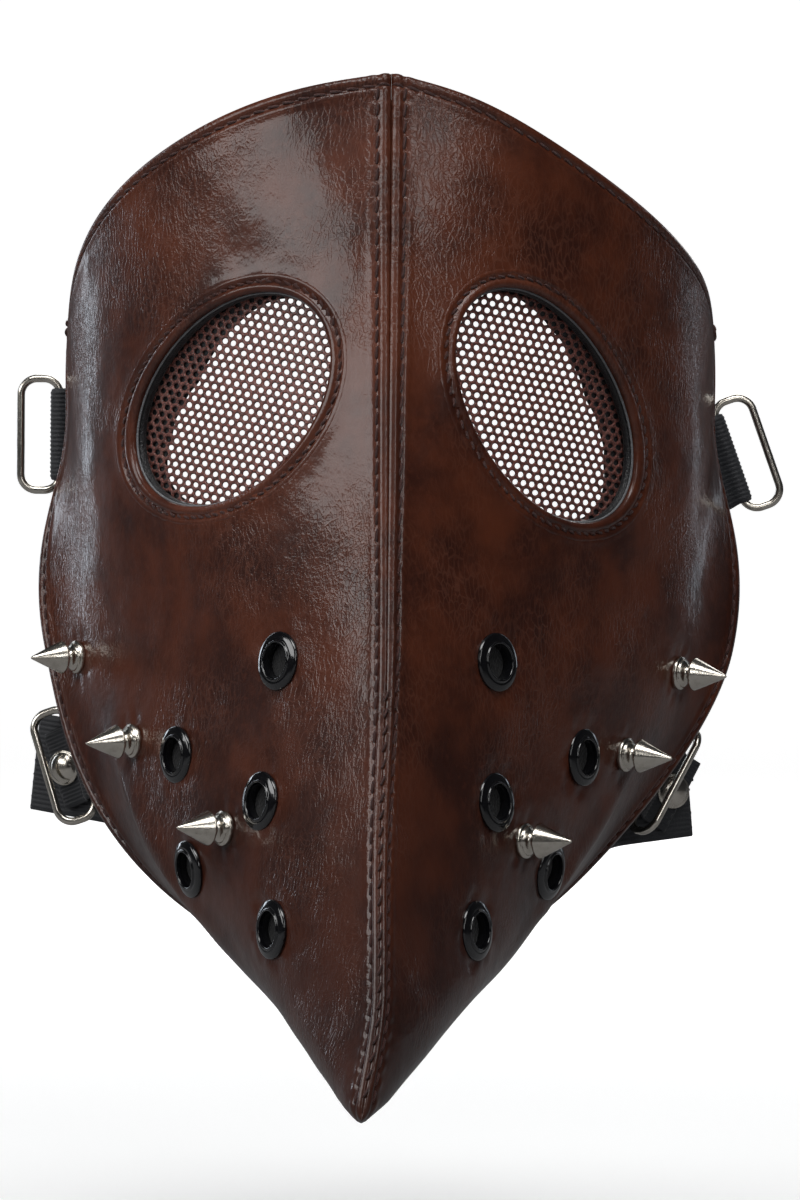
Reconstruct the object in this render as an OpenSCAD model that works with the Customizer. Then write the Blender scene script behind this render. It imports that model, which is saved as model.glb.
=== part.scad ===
// Leather plague doctor face mask: two sewn side panels on a stiff lining, netted
// eye openings, crimped vents, screw-back spikes and four strap rings on webbing.
// +Z up, the front faces -Y, "left" is -X. The origin is on the middle plane, level
// with the eyes, at the rear edge of the temples, where the face closes the mask.

/* [Leather] */
// Thickness of the outer panels
leather_t = 1.2; // [1:0.1:1.4]
// Thickness of the lining
lining_t = 1.5; // [1.2:0.1:1.6]
// How far the beak tip leans to the left
tip_lean = 4.2; // [0:0.1:5]
// How far the jaw edges sit to the left
jaw_lean = 4.4; // [0:0.1:5]

/* [Eyes] */
// Half length of each opening, left and right
eye_long = [29, 30.5]; // [27:0.5:32]
// Half width of each opening, left and right
eye_short = [20.3, 18.7]; // [17:0.1:21]
// Slope of each opening's long axis, left and right
eye_tilt = [48, 59]; // [45:1:62]
// Width of the sewn welt round an opening
welt_w = 4; // [3.4:0.1:4.4]

/* [Vents and spikes] */
// Outer diameter of an eyelet's flange
eyelet_d = 14; // [13:0.5:15]
// Diameter of an eyelet's hole
eyelet_hole_d = 8; // [7:0.5:8.5]
// Diameter of a spike's cone and flange
spike_d = 8.4; // [8:0.1:9]
// Length of a spike's cone
spike_cone_l = 9.5; // [8:0.5:11]

/* [Straps and rings] */
// Width of the webbing
webbing_w = 25; // [24:0.5:26]
// Thickness of one webbing layer
webbing_t = 1.6; // [1.4:0.1:1.7]
// Diameter of the ring wire
wire_d = 2; // [1.8:0.1:2]
// Length of a ring between wire centres
ring_l = 29; // [28.5:0.5:30]
// Width of a ring between wire centres
ring_w = 10.2; // [10:0.1:11]
// Forward tilt of the upper rings' bars from upright, left and right
upper_tilt = [0, 19.5]; // [0:0.5:20]
// Angle that the lower rings stand off their webbing, left and right
lower_stand = [20, 80]; // [15:1:90]

/* [Hidden] */
$fn = 48;

left = -1;
right = 1;
function pick(side, pair) = side < 0 ? pair[0] : pair[1];

// Control net of a panel for +X. Rows are stations from the brow hem down to the beak
// tip; columns are lines from the ridge seam out to the rear hem or the under seam.
NET = [
    [[0, -92, 77], [20, -90, 74.5], [40, -80, 69], [59, -62, 60], [73, -42, 49], [81, -22, 36], [83, -4, 22]],
    [[0, -98, 50], [18, -94, 48], [39, -83, 43], [59, -63, 36], [74, -40, 28], [81, -20, 18], [84, -3, 8]],
    [[0, -107, 18], [16, -100, 16], [38, -85, 12], [60, -61, 6], [76, -37, 0], [82, -17, -5], [83, -1, -9]],
    [[0, -116, -18], [15, -107, -19], [37, -88, -21], [60, -61, -23], [76, -36, -25], [81, -18, -28],
        [90, -4, -30]],
    [[0, -124, -50], [14, -112, -50], [35, -90, -50], [58, -61, -51], [74, -36, -52], [81, -20, -54],
        [91, -7, -53]],
    [[0, -134, -80], [13, -120, -79], [32, -96, -77], [53, -67, -76], [68, -44, -76], [75, -30, -77],
        [83, -20, -79]],
    [[0, -144, -108], [11, -130, -107], [28, -106, -105], [46, -78, -103], [57, -60, -103], [60, -48, -104],
        [66, -40, -106]],
    [[0, -153, -132], [9, -141, -131], [21, -120, -129], [32, -98, -128], [38, -84, -128], [38, -70, -130],
        [37, -60, -133]],
    [[0, -159, -148], [6, -151, -147], [14, -137, -146], [20, -121, -145], [21, -106, -145], [13, -85, -145],
        [-6, -66, -141]],
    [[0, -162, -157], [3, -158, -156], [7, -151, -156], [10, -141, -156], [10, -130, -156], [5, -116, -155],
        [0, -104, -154]],
    [[0, -163, -163], [1, -162, -163], [2, -160, -164], [2.5, -157, -164], [2.5, -154, -164],
        [1.5, -151, -164], [0, -150, -164]]];
// The right brow hem dips; the amounts are for the columns of the first row
brow_dip = [0, 2, 7, 9, 8, 3.5, 0];
stations = len(NET) - 1;
lines = len(NET[0]) - 1;
throat = 8.1;       // station at which the two jaw hems meet
lining_end = 9;     // station at which the lining stops, short of the tip

layer_gap = 0.3;
stack_t = leather_t + layer_gap + lining_t;
seam_gap = 0.05;    // half the gap between the panels in the middle plane
rows = 30;          // facets of a panel along the stations
columns = 15;       // facets of a panel across the lines
hole_facets = 16;   // sides of the punched holes that the vents and screws pass through

// Net places [station, line] of the vents and spikes, in order down the mask
eyelet_places = [[4.45, 1.6], [5.35, 3.0], [5.65, 1.9], [6.4, 3.4], [6.85, 2.15]];
spike_places = [[[4.4, 5.0], [5.25, 3.75], [5.95, 2.45]], [[4.55, 4.4], [5.35, 3.8], [6.05, 2.5]]];

eye_centre = [[38.7, -0.3], [38.3, -1.3]];   // x outward and z of each opening
welt_t = 0.5;
welt_gap = 0.25;
net_t = 0.5;
net_depth = stack_t + 1.2;
panel_eye_cut = 1.6;         // how much larger than the opening the leather and lining are cut
lining_eye_cut = 2.4;
welt_fold = 0.7;             // thickness of the welt's fold at the edge of the opening

tape_t = 0.8;
tape_depth = stack_t + 0.3;
throat_rise = 1.6;           // how far the under tape lies above the hems that it joins

binding_w = 3;
binding_t = 0.5;
binding_gap = 0.12;

// The vents are crimped through the leather only; the lining covers their washers
eyelet_barrel_r = eyelet_hole_d / 2 + 0.6;
eyelet_h = 1.5;
eyelet_lift = 0.65;             // the flat flange clears the curved leather by this much
eyelet_rim_r = 0.9;             // radius of the rolled outer and inner rims
washer_r = 5.4;
washer_t = 0.4;
washer_depth = leather_t + 0.85;
crimp_l = 0.1;                  // how far a barrel passes its washer
pocket_gap = 0.15;              // clear space round a washer in the lining
fit_gap = 0.2;
running_fit = 0.05;             // between a shank and its bore

spike_thread_r = 1.5;
spike_lift = 0.4;
spike_neck_z = 2.8;
spike_cone_z = 4.2;
spike_socket = 6;
screw_l = spike_socket - 1;     // how far a screw reaches past the leather's face
screw_head_r = 3.6;
screw_head_t = 1.2;
screw_head_depth = stack_t + 0.7;

wire_r = wire_d / 2;
bar_clearance = 0.06;
ring_corner_r = 4.2;
bar_straight = ring_l - 2 * ring_corner_r;
loop_r = wire_r + bar_clearance + webbing_t;
loop_w = bar_straight - 0.4;

// Bar centre of each upper ring: x outward, y, z
upper_bar = [[85.8, 4.8, -5.5], [88, 4.8, -10.9]];
upper_leg = [78.2, -8, 2];       // x outward of the sewn leg's face, its front and rear y
leg_slope = 0.6;                 // how far the leg's front end lies inward of its rear end
elbow_run = 1.4;                 // how far the webbing's elbow runs outward
loop_clearance = 0.6;            // between the upright band and the tilted loop
// Rivet centre of each lower strap: x outward, y, z
rivet_place = [[82, -9, -91.5], [72.3, -9, -96.5]];
strap_yaw = [30, 22];            // how far each lower strap trails to the rear
tail_roll = [7, 6];              // how far each tail's end rises
tab_roll = [20, 30];             // how far the top of each lower ring leans outward
tail_end = [10.5, 5.5];          // length of the tail past the rivet
lower_bar = [-6.7, -2.8];        // bar centre from the rivet, outward and to the rear
tail_path = [[-15, 0.8], [-25.5, -8.6], [-31, -13.5]];
tab_inner = -10.4;               // where the tab's inner end lies, and its outer end
tab_outer = 3.4;
tab_t = webbing_t + 0.1;
tab_gap = 0.1;                   // between the tab and the tail under it
rivet_r = 1.5;
rivet_gap = 0.15;
rivet_head_r = 3.6;
rivet_head_t = 0.9;
rivet_head_gap = 0.1;            // between the tail and the rivet's rear head
rivet_peg = 0.8;                 // length of the post inside the cap
cap_r = 4.5;
cap_h = 2.2;
cap_seat = tab_gap + tab_t + 0.05;

leather_colour = "#4a1d14";
lining_colour = "#1b1a1a";
net_colour = "#7a4a42";
steel_colour = "#b9b4a8";
enamel_colour = "#0c0c0e";
webbing_colour = "#15171a";

// ---- The panel surface ----

// Uniform cubic spline that ends on its first and last control points
function weights(f) =
    [pow(1 - f, 3), 3 * pow(f, 3) - 6 * f * f + 4, 1 + 3 * (f + f * f - pow(f, 3)), pow(f, 3)] / 6;
function control(row, k) = let(n = len(row) - 1)
    k < 0 ? 2 * row[0] - row[1] : k > n ? 2 * row[n] - row[n - 1] : row[k];
function spline(row, t) = let(
    i = max(0, min(len(row) - 2, floor(t))),
    w = weights(t - i))
    w[0] * control(row, i - 1) + w[1] * control(row, i) + w[2] * control(row, i + 1)
        + w[3] * control(row, i + 2);

function side_net(side) = [for (i = [0:stations]) [for (j = [0:lines])
    NET[i][j] - [0, 0, side > 0 && i < 2 ? brow_dip[j] / (i + 1) : 0]]];
left_net = side_net(left);
right_net = side_net(right);

// Point of the symmetric surface, before the lean, with x outward
function straight(side, place) =
    spline([for (row = side < 0 ? left_net : right_net) spline(row, place[1])], place[0]);
function unit(v) = v / norm(v);
function outward(side, place) = let(
    h = 0.02,
    u = [max(0, place[0] - h), min(stations, place[0] + h)],
    v = [max(0, place[1] - h), min(lines, place[1] + h)])
    unit(cross(straight(side, [u[1], place[1]]) - straight(side, [u[0], place[1]]),
               straight(side, [place[0], v[1]]) - straight(side, [place[0], v[0]])));

function ease(t) = let(c = min(1, max(0, t))) c * c * (3 - 2 * c);
// The worn leather leans to the left towards the jaw and the beak tip
function lean(p) = let(
    jaw = ease((-60 - p.z) / 60) * (1.2 + jaw_lean * max(0, p.y + 150) / 100),
    tip = ease((-135 - p.z) / 35) * tip_lean)
    [p.x - jaw - tip, p.y, p.z];
function settle(side, p) = lean([side * max(seam_gap, p.x), p.y, p.z]);
// Point at a depth below the outer surface; the shell thins towards the tip
function skin(side, place, depth = 0) = let(
    thin = 1 - 0.7 * ease(place[0] - lining_end))
    settle(side, straight(side, place) - depth * thin * outward(side, place));

// ---- Solids from points ----

// Faces of a sweep through rings of n points, closed in a loop or capped at its ends
function sweep_faces(count, n, loop, flip) = let(
    quads = [for (i = [0:count - (loop ? 1 : 2)]) for (j = [0:n - 1]) let(
        a = i * n + j, b = i * n + (j + 1) % n,
        c = ((i + 1) % count) * n + (j + 1) % n, d = ((i + 1) % count) * n + j)
        each [[a, b, c], [a, c, d]]],
    caps = loop ? [] : [[for (j = [n - 1:-1:0]) j], [for (j = [0:n - 1]) (count - 1) * n + j]],
    faces = concat(quads, caps))
    flip ? [for (f = faces) [for (k = [len(f) - 1:-1:0]) f[k]]] : faces;

module sweep(rings, loop = false, flip = false) {
    polyhedron(
        points = [for (ring = rings) each ring],
        faces = sweep_faces(len(rings), len(rings[0]), loop, flip),
        convexity = 6);
}

// Sheet between two depths over a rectangle of the net, as a sweep of thin sections
module sheet(side, from, to, depths, steps = [rows, columns]) {
    places = [for (i = [0:steps[0]]) [for (j = [0:steps[1]])
        [from[0] + (to[0] - from[0]) * i / steps[0], from[1] + (to[1] - from[1]) * j / steps[1]]]];
    sweep([for (row = places) concat(
        [for (place = row) skin(side, place, depths[0])],
        [for (j = [steps[1]:-1:0]) skin(side, row[j], depths[1])])],
        flip = side < 0);
}

// ---- Where things sit ----

// Puts children on the surface with +Z along the outward normal
module seat(side, place) {
    n0 = outward(side, place);
    n = [side * n0.x, n0.y, n0.z];
    x = unit(cross([0, 0, 1], n));
    y = cross(n, x);
    p = skin(side, place);
    multmatrix([
        [x.x, y.x, n.x, p.x],
        [x.y, y.y, n.y, p.y],
        [x.z, y.z, n.z, p.z],
        [0, 0, 0, 1]])
        children();
}
module on_side(side) {
    if (side < 0)
        mirror([1, 0, 0]) children();
    else
        children();
}
module at_rivet(side, roll) {
    on_side(side)
        translate(pick(side, rivet_place))
            rotate([0, 0, pick(side, strap_yaw)])
                rotate([0, roll, 0])
                    children();
}
module at_upper_bar(side) {
    on_side(side)
        translate(pick(side, upper_bar))
            rotate([0, -pick(side, upper_tilt), 0])
                children();
}

// Net place whose surface point has the given x outward and z, by Newton's steps
function locate(side, goal, place, left_over = 6) = left_over == 0 ? place : let(
    h = 0.02,
    p = straight(side, place),
    du = (straight(side, place + [h, 0]) - p) / h,
    dv = (straight(side, place + [0, h]) - p) / h,
    miss = goal - [p.x, p.z],
    area = du.x * dv.z - dv.x * du.z)
    locate(side, goal, place + [miss[0] * dv.z - miss[1] * dv.x, du.x * miss[1] - du.z * miss[0]] / area,
        left_over - 1);
// Outline of an eye opening grown by some amount, in x outward and z
function eye_outline(side, angle, grow) = let(
    tilt = pick(side, eye_tilt),
    a = (pick(side, eye_long) + grow) * cos(angle),
    b = (pick(side, eye_short) + grow) * sin(angle))
    pick(side, eye_centre) + [a * cos(tilt) + b * sin(tilt), b * cos(tilt) - a * sin(tilt)];
function eye_place(side, angle, grow) = let(goal = eye_outline(side, angle, grow))
    locate(side, goal, [2 + (10 - goal[1]) / 31, goal[0] / 20]);

// ---- Leather, lining and bindings ----

module eye_prism(side, grow, facets = 48) {
    on_side(side)
        rotate([90, 0, 0])
            linear_extrude(140)
                polygon([for (k = [0:facets - 1]) eye_outline(side, 360 * k / facets, grow)]);
}
// Holes punched square to the surface at each place
module punched(side, places, r) {
    for (place = places)
        seat(side, place)
            cylinder(r = r + fit_gap, h = 16, center = true, $fn = hole_facets);
}
// Pockets in the front of the lining that take the washers of the vents
module washer_pockets(side) {
    floor_depth = washer_depth + washer_t + crimp_l + pocket_gap;
    for (place = eyelet_places)
        seat(side, place)
            translate([0, 0, -floor_depth])
                cylinder(r = washer_r + pocket_gap, h = floor_depth, $fn = hole_facets);
}
module panel(side) {
    color(leather_colour)
        resize([0, 0, 0])
            difference() {
                sheet(side, [0, 0], [stations, lines], [0, leather_t]);
                eye_prism(side, panel_eye_cut);
                punched(side, eyelet_places, eyelet_barrel_r);
                punched(side, pick(side, spike_places), spike_thread_r);
            }
}
module lining(side) {
    color(lining_colour)
        resize([0, 0, 0])
            difference() {
                sheet(side, [0, 0], [lining_end, lines], [leather_t + layer_gap, stack_t],
                    [rows * lining_end / stations, columns]);
                eye_prism(side, lining_eye_cut);
                washer_pockets(side);
                punched(side, pick(side, spike_places), spike_thread_r);
            }
}

// Net places along the free hem, from the ridge over the temple and down to the throat
hem_places = concat(
    [for (j = [0:columns - 1]) [0, j * lines / columns]],
    [for (i = [0:floor(throat * rows / stations)]) [i * stations / rows, lines]]);
function hem_inner(place) = let(du = stations / rows, dv = lines / columns)
    place[1] >= lines ? (place[0] == 0 ? [du, lines - dv] : [place[0], lines - dv]) : [du, place[1]];
// Section of a channel that wraps both faces of the edge: [past the edge, depth]
function channel(reach, thick, gap) = [
    [-reach, -gap - thick], [gap + thick, -gap - thick], [gap + thick, stack_t + gap + thick],
    [-reach, stack_t + gap + thick], [-reach, stack_t + gap], [gap, stack_t + gap], [gap, -gap],
    [-reach, -gap]];
module edge_binding(side) {
    color(leather_colour)
        sweep([for (place = hem_places) let(
            edge = straight(side, place),
            away = unit(edge - straight(side, hem_inner(place))),
            n = outward(side, place))
            [for (s = channel(binding_w, binding_t, binding_gap))
                settle(side, edge + s[0] * away - s[1] * n)]],
            flip = side < 0);
}
module eye_binding(side) {
    facets = 40;
    section = [
        [0, -welt_gap - welt_t], [welt_w, -welt_gap - welt_t], [welt_w, -welt_gap], [welt_fold, -welt_gap],
        [welt_fold, stack_t + welt_gap], [welt_w, stack_t + welt_gap],
        [welt_w, stack_t + welt_gap + welt_t], [0, stack_t + welt_gap + welt_t]];
    color(leather_colour)
        sweep([for (k = [0:facets - 1]) [for (s = section)
            skin(side, eye_place(side, 360 * k / facets, s[0]), s[1])]],
            loop = true, flip = side > 0);
}
module eye_mesh(side) {
    // Net places of two opposite corners of a patch that is wider than the opening
    top_inner = [0.4, 0.3];
    bottom_outer = [4.2, 4];
    color(net_colour)
        resize([0, 0, 0])
            intersection() {
                sheet(side, top_inner, bottom_outer, [net_depth, net_depth + net_t], [15, 12]);
                eye_prism(side, welt_w);
            }
}
// Tape folded into the ridge from the brow towards the tip
module ridge_seam_tape() {
    from = 0.2;
    to = 8.6;
    steps = 36;
    // Net line that the tape's edge follows, so that it keeps its width as the lines close up
    function half(u) = 0.3 + 0.02 * u * u;
    // Point where the two sides' offset surfaces meet in the middle plane
    function crotch(u, depth) = let(n = outward(right, [u, 0]), p = straight(right, [u, 0]))
        lean([0, p.y, p.z] - depth / (n.y * n.y + n.z * n.z) * [0, n.y, n.z]);
    function across(u, depth) = [
        skin(left, [u, half(u)], depth), skin(left, [u, half(u) / 2], depth), crotch(u, depth),
        skin(right, [u, half(u) / 2], depth), skin(right, [u, half(u)], depth)];
    function back_across(u, depth) = let(row = across(u, depth)) [for (k = [4:-1:0]) row[k]];
    color(lining_colour)
        sweep([for (i = [0:steps]) let(u = from + (to - from) * i / steps)
            concat(across(u, tape_depth), back_across(u, tape_depth + tape_t))]);
}
// Flat tape over the seam under the beak, from the throat forwards
module under_seam_tape() {
    from = throat + 0.1;
    to = 8.8;
    steps = 8;
    half = 3.2;
    lift = tape_depth + throat_rise;
    color(lining_colour)
        sweep([for (i = [0:steps]) let(
            u = from + (to - from) * i / steps,
            p = skin(right, [u, lines]) + [0, 0, lift])
            [for (corner = [[-half, 0], [half, 0], [half, tape_t], [-half, tape_t]])
                p + [corner[0], 0, corner[1]]]],
            flip = true);
}

// ---- Vents and spikes ----

module eyelet(side, index) {
    hole_r = eyelet_hole_d / 2;
    flange_r = eyelet_d / 2;
    barrel_l = washer_depth + washer_t + crimp_l + eyelet_lift;
    color(enamel_colour)
        seat(side, eyelet_places[index - 1])
            translate([0, 0, eyelet_lift])
                rotate_extrude()
                    union() {
                        translate([hole_r, -barrel_l])
                            square([eyelet_barrel_r - hole_r, barrel_l + eyelet_rim_r / 2]);
                        translate([hole_r, 0])
                            square([flange_r - hole_r - eyelet_rim_r, eyelet_h - eyelet_rim_r]);
                        intersection() {
                            translate([flange_r - eyelet_rim_r, 0])
                                circle(r = eyelet_rim_r);
                            square([flange_r, eyelet_h]);
                        }
                        translate([hole_r + eyelet_rim_r, eyelet_h - eyelet_rim_r])
                            circle(r = eyelet_rim_r);
                    }
}
module eyelet_washers(side) {
    color(enamel_colour)
        for (place = eyelet_places)
            seat(side, place)
                translate([0, 0, -washer_depth - washer_t])
                    difference() {
                        cylinder(r = washer_r, h = washer_t);
                        translate([0, 0, -washer_t])
                            cylinder(r = eyelet_barrel_r + running_fit, h = 3 * washer_t);
                    }
}
module spike(side, index) {
    r = spike_d / 2;
    tip_r = 0.3;
    profile = [
        [spike_thread_r + running_fit, 0], [r, 0], [r, 0.9], [r - 0.5, 1.7], [r - 1.4, 2.4], [2.4, spike_neck_z],
        [2.2, 3.2], [2.2, 3.8], [r - 0.5, spike_cone_z], [r - 0.15, spike_cone_z + 0.3],
        [tip_r, spike_cone_z + spike_cone_l], [0, spike_cone_z + spike_cone_l + 0.2], [0, spike_socket],
        [spike_thread_r + running_fit, spike_socket]];
    color(steel_colour)
        seat(side, pick(side, spike_places)[index - 1])
            translate([0, 0, spike_lift])
                rotate_extrude()
                    polygon(profile);
}
module spike_screws(side) {
    color(steel_colour)
        for (place = pick(side, spike_places))
            seat(side, place)
                translate([0, 0, -screw_head_depth - screw_head_t]) {
                    cylinder(r = screw_head_r, h = screw_head_t);
                    cylinder(r = spike_thread_r, h = screw_head_depth + screw_head_t + screw_l);
                }
}

// ---- Webbing, rings and rivets ----

// Point on the mitre at point k of a line, at a distance to the left of the line
function beside(points, k, distance) = let(
    last = len(points) - 1,
    before = unit(points[max(k, 1)] - points[max(k, 1) - 1]),
    after = unit(points[min(k, last - 1) + 1] - points[min(k, last - 1)]),
    mitre = unit([-before.y - after.y, before.x + after.x]))
    points[k] + distance / (mitre.y * before.x - mitre.x * before.y) * mitre;
// Flat ribbon seen edge-on: straight runs with mitred elbows
module ribbon(points, t) {
    last = len(points) - 1;
    polygon(concat(
        [for (k = [0:last]) beside(points, k, t / 2)],
        [for (k = [last:-1:0]) beside(points, k, -t / 2)]));
}
module wide(w) {
    translate([0, 0, -w / 2])
        linear_extrude(w)
            children();
}
module bar_hole() {
    cylinder(r = wire_r + bar_clearance, h = 2 * webbing_w, center = true);
}
module upper_webbing(side) {
    bar = pick(side, upper_bar);
    double_t = 2 * webbing_t;
    band_x = upper_leg[0] - webbing_t;
    // The upright band stops short of the tilted loop's ends
    reach = loop_r + loop_clearance + webbing_w / 2 * sin(pick(side, upper_tilt));
    color(webbing_colour) {
        on_side(side)
            translate([0, 0, bar.z])
                wide(webbing_w)
                    ribbon([[band_x - leg_slope, upper_leg[1]], [band_x, upper_leg[2]],
                            [band_x + elbow_run, bar.y], [bar.x - reach, bar.y]], double_t);
        difference() {
            at_upper_bar(side) {
                wide(loop_w)
                    union() {
                        circle(r = loop_r);
                        translate([-reach, -webbing_t])
                            square([reach, double_t]);
                    }
            }
            at_upper_bar(side) bar_hole();
        }
    }
}
// Wire ring with its hinge bar on the Z axis, reaching out along +X
module wire_ring() {
    far = ring_w;
    half = bar_straight / 2;
    for (x = [0, far])
        translate([x, 0, -half])
            cylinder(r = wire_r, h = bar_straight);
    for (end = [-1, 1]) {
        translate([ring_corner_r, 0, end * (half + ring_corner_r)])
            rotate([0, 90, 0])
                cylinder(r = wire_r, h = far - 2 * ring_corner_r);
        for (corner = [0, 1])
            translate([corner ? far - ring_corner_r : ring_corner_r, 0, end * half])
                rotate([90, 0, 0])
                    rotate([0, 0, end > 0 ? (corner ? 0 : 90) : (corner ? 270 : 180)])
                        rotate_extrude(angle = 90)
                            translate([ring_corner_r, 0])
                                circle(r = wire_r);
    }
}
module upper_ring(side) {
    color(steel_colour)
        at_upper_bar(side)
            wire_ring();
}
module rivet_hole() {
    rotate([90, 0, 0])
        cylinder(r = rivet_r + rivet_gap, h = 12, center = true);
}
module lower_webbing(side) {
    color(webbing_colour)
        at_rivet(side, -pick(side, tail_roll))
            difference() {
                wide(webbing_w)
                    ribbon(concat([[pick(side, tail_end), webbing_t / 2]], tail_path), webbing_t);
                rivet_hole();
            }
}
module lower_tab(side) {
    loop_inner = lower_bar[0] - loop_r;
    // Flat piece of the tab from one x to another
    module flat(from, to, w) {
        wide(w)
            translate([from, -tab_gap - tab_t])
                square([to - from, tab_t]);
    }
    color(webbing_colour)
        at_rivet(side, pick(side, tab_roll))
            difference() {
                union() {
                    wide(loop_w)
                        translate(lower_bar)
                            circle(r = loop_r);
                    flat(loop_inner, lower_bar[0] + loop_r, loop_w);
                    flat(tab_inner, loop_inner + 1, webbing_w - 3);
                    flat(lower_bar[0], tab_outer, webbing_w - 6);
                }
                translate([lower_bar[0], lower_bar[1], 0])
                    bar_hole();
                rivet_hole();
                // Room for the rivet's cap
                translate([0, -tab_gap - tab_t, 0])
                    rotate([90, 0, 0])
                        cylinder(r = cap_r + rivet_gap, h = loop_r * 2);
            }
}
module lower_ring(side) {
    color(steel_colour)
        at_rivet(side, pick(side, tab_roll))
            translate([lower_bar[0], lower_bar[1], 0])
                rotate([0, 0, -pick(side, lower_stand)])
                    wire_ring();
}
module rivet_cap(side) {
    rim = 0.5;
    bore_r = rivet_r + running_fit;
    bore_h = rivet_peg + 0.2;
    dome = [for (angle = [0:15:90]) [cap_r * cos(angle), rim + (cap_h - rim) * sin(angle)]];
    color(steel_colour)
        at_rivet(side, pick(side, tab_roll))
            translate([0, -cap_seat, 0])
                rotate([90, 0, 0])
                    rotate_extrude()
                        polygon(concat([[0, bore_h], [bore_r, bore_h], [bore_r, 0], [cap_r, 0]], dome));
}
module rivet_post(side) {
    head_y = webbing_t + rivet_head_gap;
    color(steel_colour)
        at_rivet(side, pick(side, tab_roll))
            rotate([90, 0, 0]) {
                translate([0, 0, -head_y - rivet_head_t])
                    cylinder(r = rivet_head_r, h = rivet_head_t);
                translate([0, 0, -head_y - rivet_head_t])
                    cylinder(r = rivet_r, h = head_y + rivet_head_t + cap_seat + rivet_peg);
            }
}

panel(left);  // left_panel
panel(right);  // right_panel
lining(left);  // left_lining
lining(right);  // right_lining
edge_binding(left);  // left_edge_binding
edge_binding(right);  // right_edge_binding
ridge_seam_tape();
under_seam_tape();
eye_binding(left);  // left_eye_binding
eye_binding(right);  // right_eye_binding
eye_mesh(left);  // left_eye_mesh
eye_mesh(right);  // right_eye_mesh
eyelet(left, 1);  // left_eyelet_1
eyelet(left, 2);  // left_eyelet_2
eyelet(left, 3);  // left_eyelet_3
eyelet(left, 4);  // left_eyelet_4
eyelet(left, 5);  // left_eyelet_5
eyelet(right, 1);  // right_eyelet_1
eyelet(right, 2);  // right_eyelet_2
eyelet(right, 3);  // right_eyelet_3
eyelet(right, 4);  // right_eyelet_4
eyelet(right, 5);  // right_eyelet_5
eyelet_washers(left);  // left_eyelet_washers
eyelet_washers(right);  // right_eyelet_washers
spike(left, 1);  // left_spike_1
spike(left, 2);  // left_spike_2
spike(left, 3);  // left_spike_3
spike(right, 1);  // right_spike_1
spike(right, 2);  // right_spike_2
spike(right, 3);  // right_spike_3
spike_screws(left);  // left_spike_screws
spike_screws(right);  // right_spike_screws
upper_webbing(left);  // left_upper_webbing
upper_webbing(right);  // right_upper_webbing
upper_ring(left);  // left_upper_ring
upper_ring(right);  // right_upper_ring
lower_webbing(left);  // left_lower_webbing
lower_webbing(right);  // right_lower_webbing
lower_tab(left);  // left_lower_tab
lower_tab(right);  // right_lower_tab
lower_ring(left);  // left_lower_ring
lower_ring(right);  // right_lower_ring
rivet_cap(left);  // left_rivet_cap
rivet_cap(right);  // right_rivet_cap
rivet_post(left);  // left_rivet_post
rivet_post(right);  // right_rivet_post
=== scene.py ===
"""Looks of the leather plague doctor mask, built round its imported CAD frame.

Metres, +Z up, the front faces -Y and "left" is -X. Shapes are worked out in millimetres
on the same panel surface as the CAD model, and scaled once when a mesh is made.
"""

import math

import bpy
import numpy as np
from mathutils import Matrix, Vector


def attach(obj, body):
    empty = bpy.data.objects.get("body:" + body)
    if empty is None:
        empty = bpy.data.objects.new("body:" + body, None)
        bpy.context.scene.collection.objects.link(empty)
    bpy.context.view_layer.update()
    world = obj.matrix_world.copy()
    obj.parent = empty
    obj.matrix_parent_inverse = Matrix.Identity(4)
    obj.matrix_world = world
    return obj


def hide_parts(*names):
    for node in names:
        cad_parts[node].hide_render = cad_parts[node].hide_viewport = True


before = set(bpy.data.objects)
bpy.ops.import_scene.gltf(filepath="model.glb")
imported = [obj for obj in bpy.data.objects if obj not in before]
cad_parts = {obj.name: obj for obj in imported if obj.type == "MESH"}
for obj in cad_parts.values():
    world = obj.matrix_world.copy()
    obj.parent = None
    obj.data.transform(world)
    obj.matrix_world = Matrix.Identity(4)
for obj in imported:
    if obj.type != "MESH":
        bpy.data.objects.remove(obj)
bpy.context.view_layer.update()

MM = 0.001
LEFT, RIGHT = -1, 1
SIDES = {LEFT: "left", RIGHT: "right"}


def pick(side, pair):
    """The left or the right value of a pair."""
    return pair[0] if side < 0 else pair[1]


# ---- The panel surface, as in the CAD source ----

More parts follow.
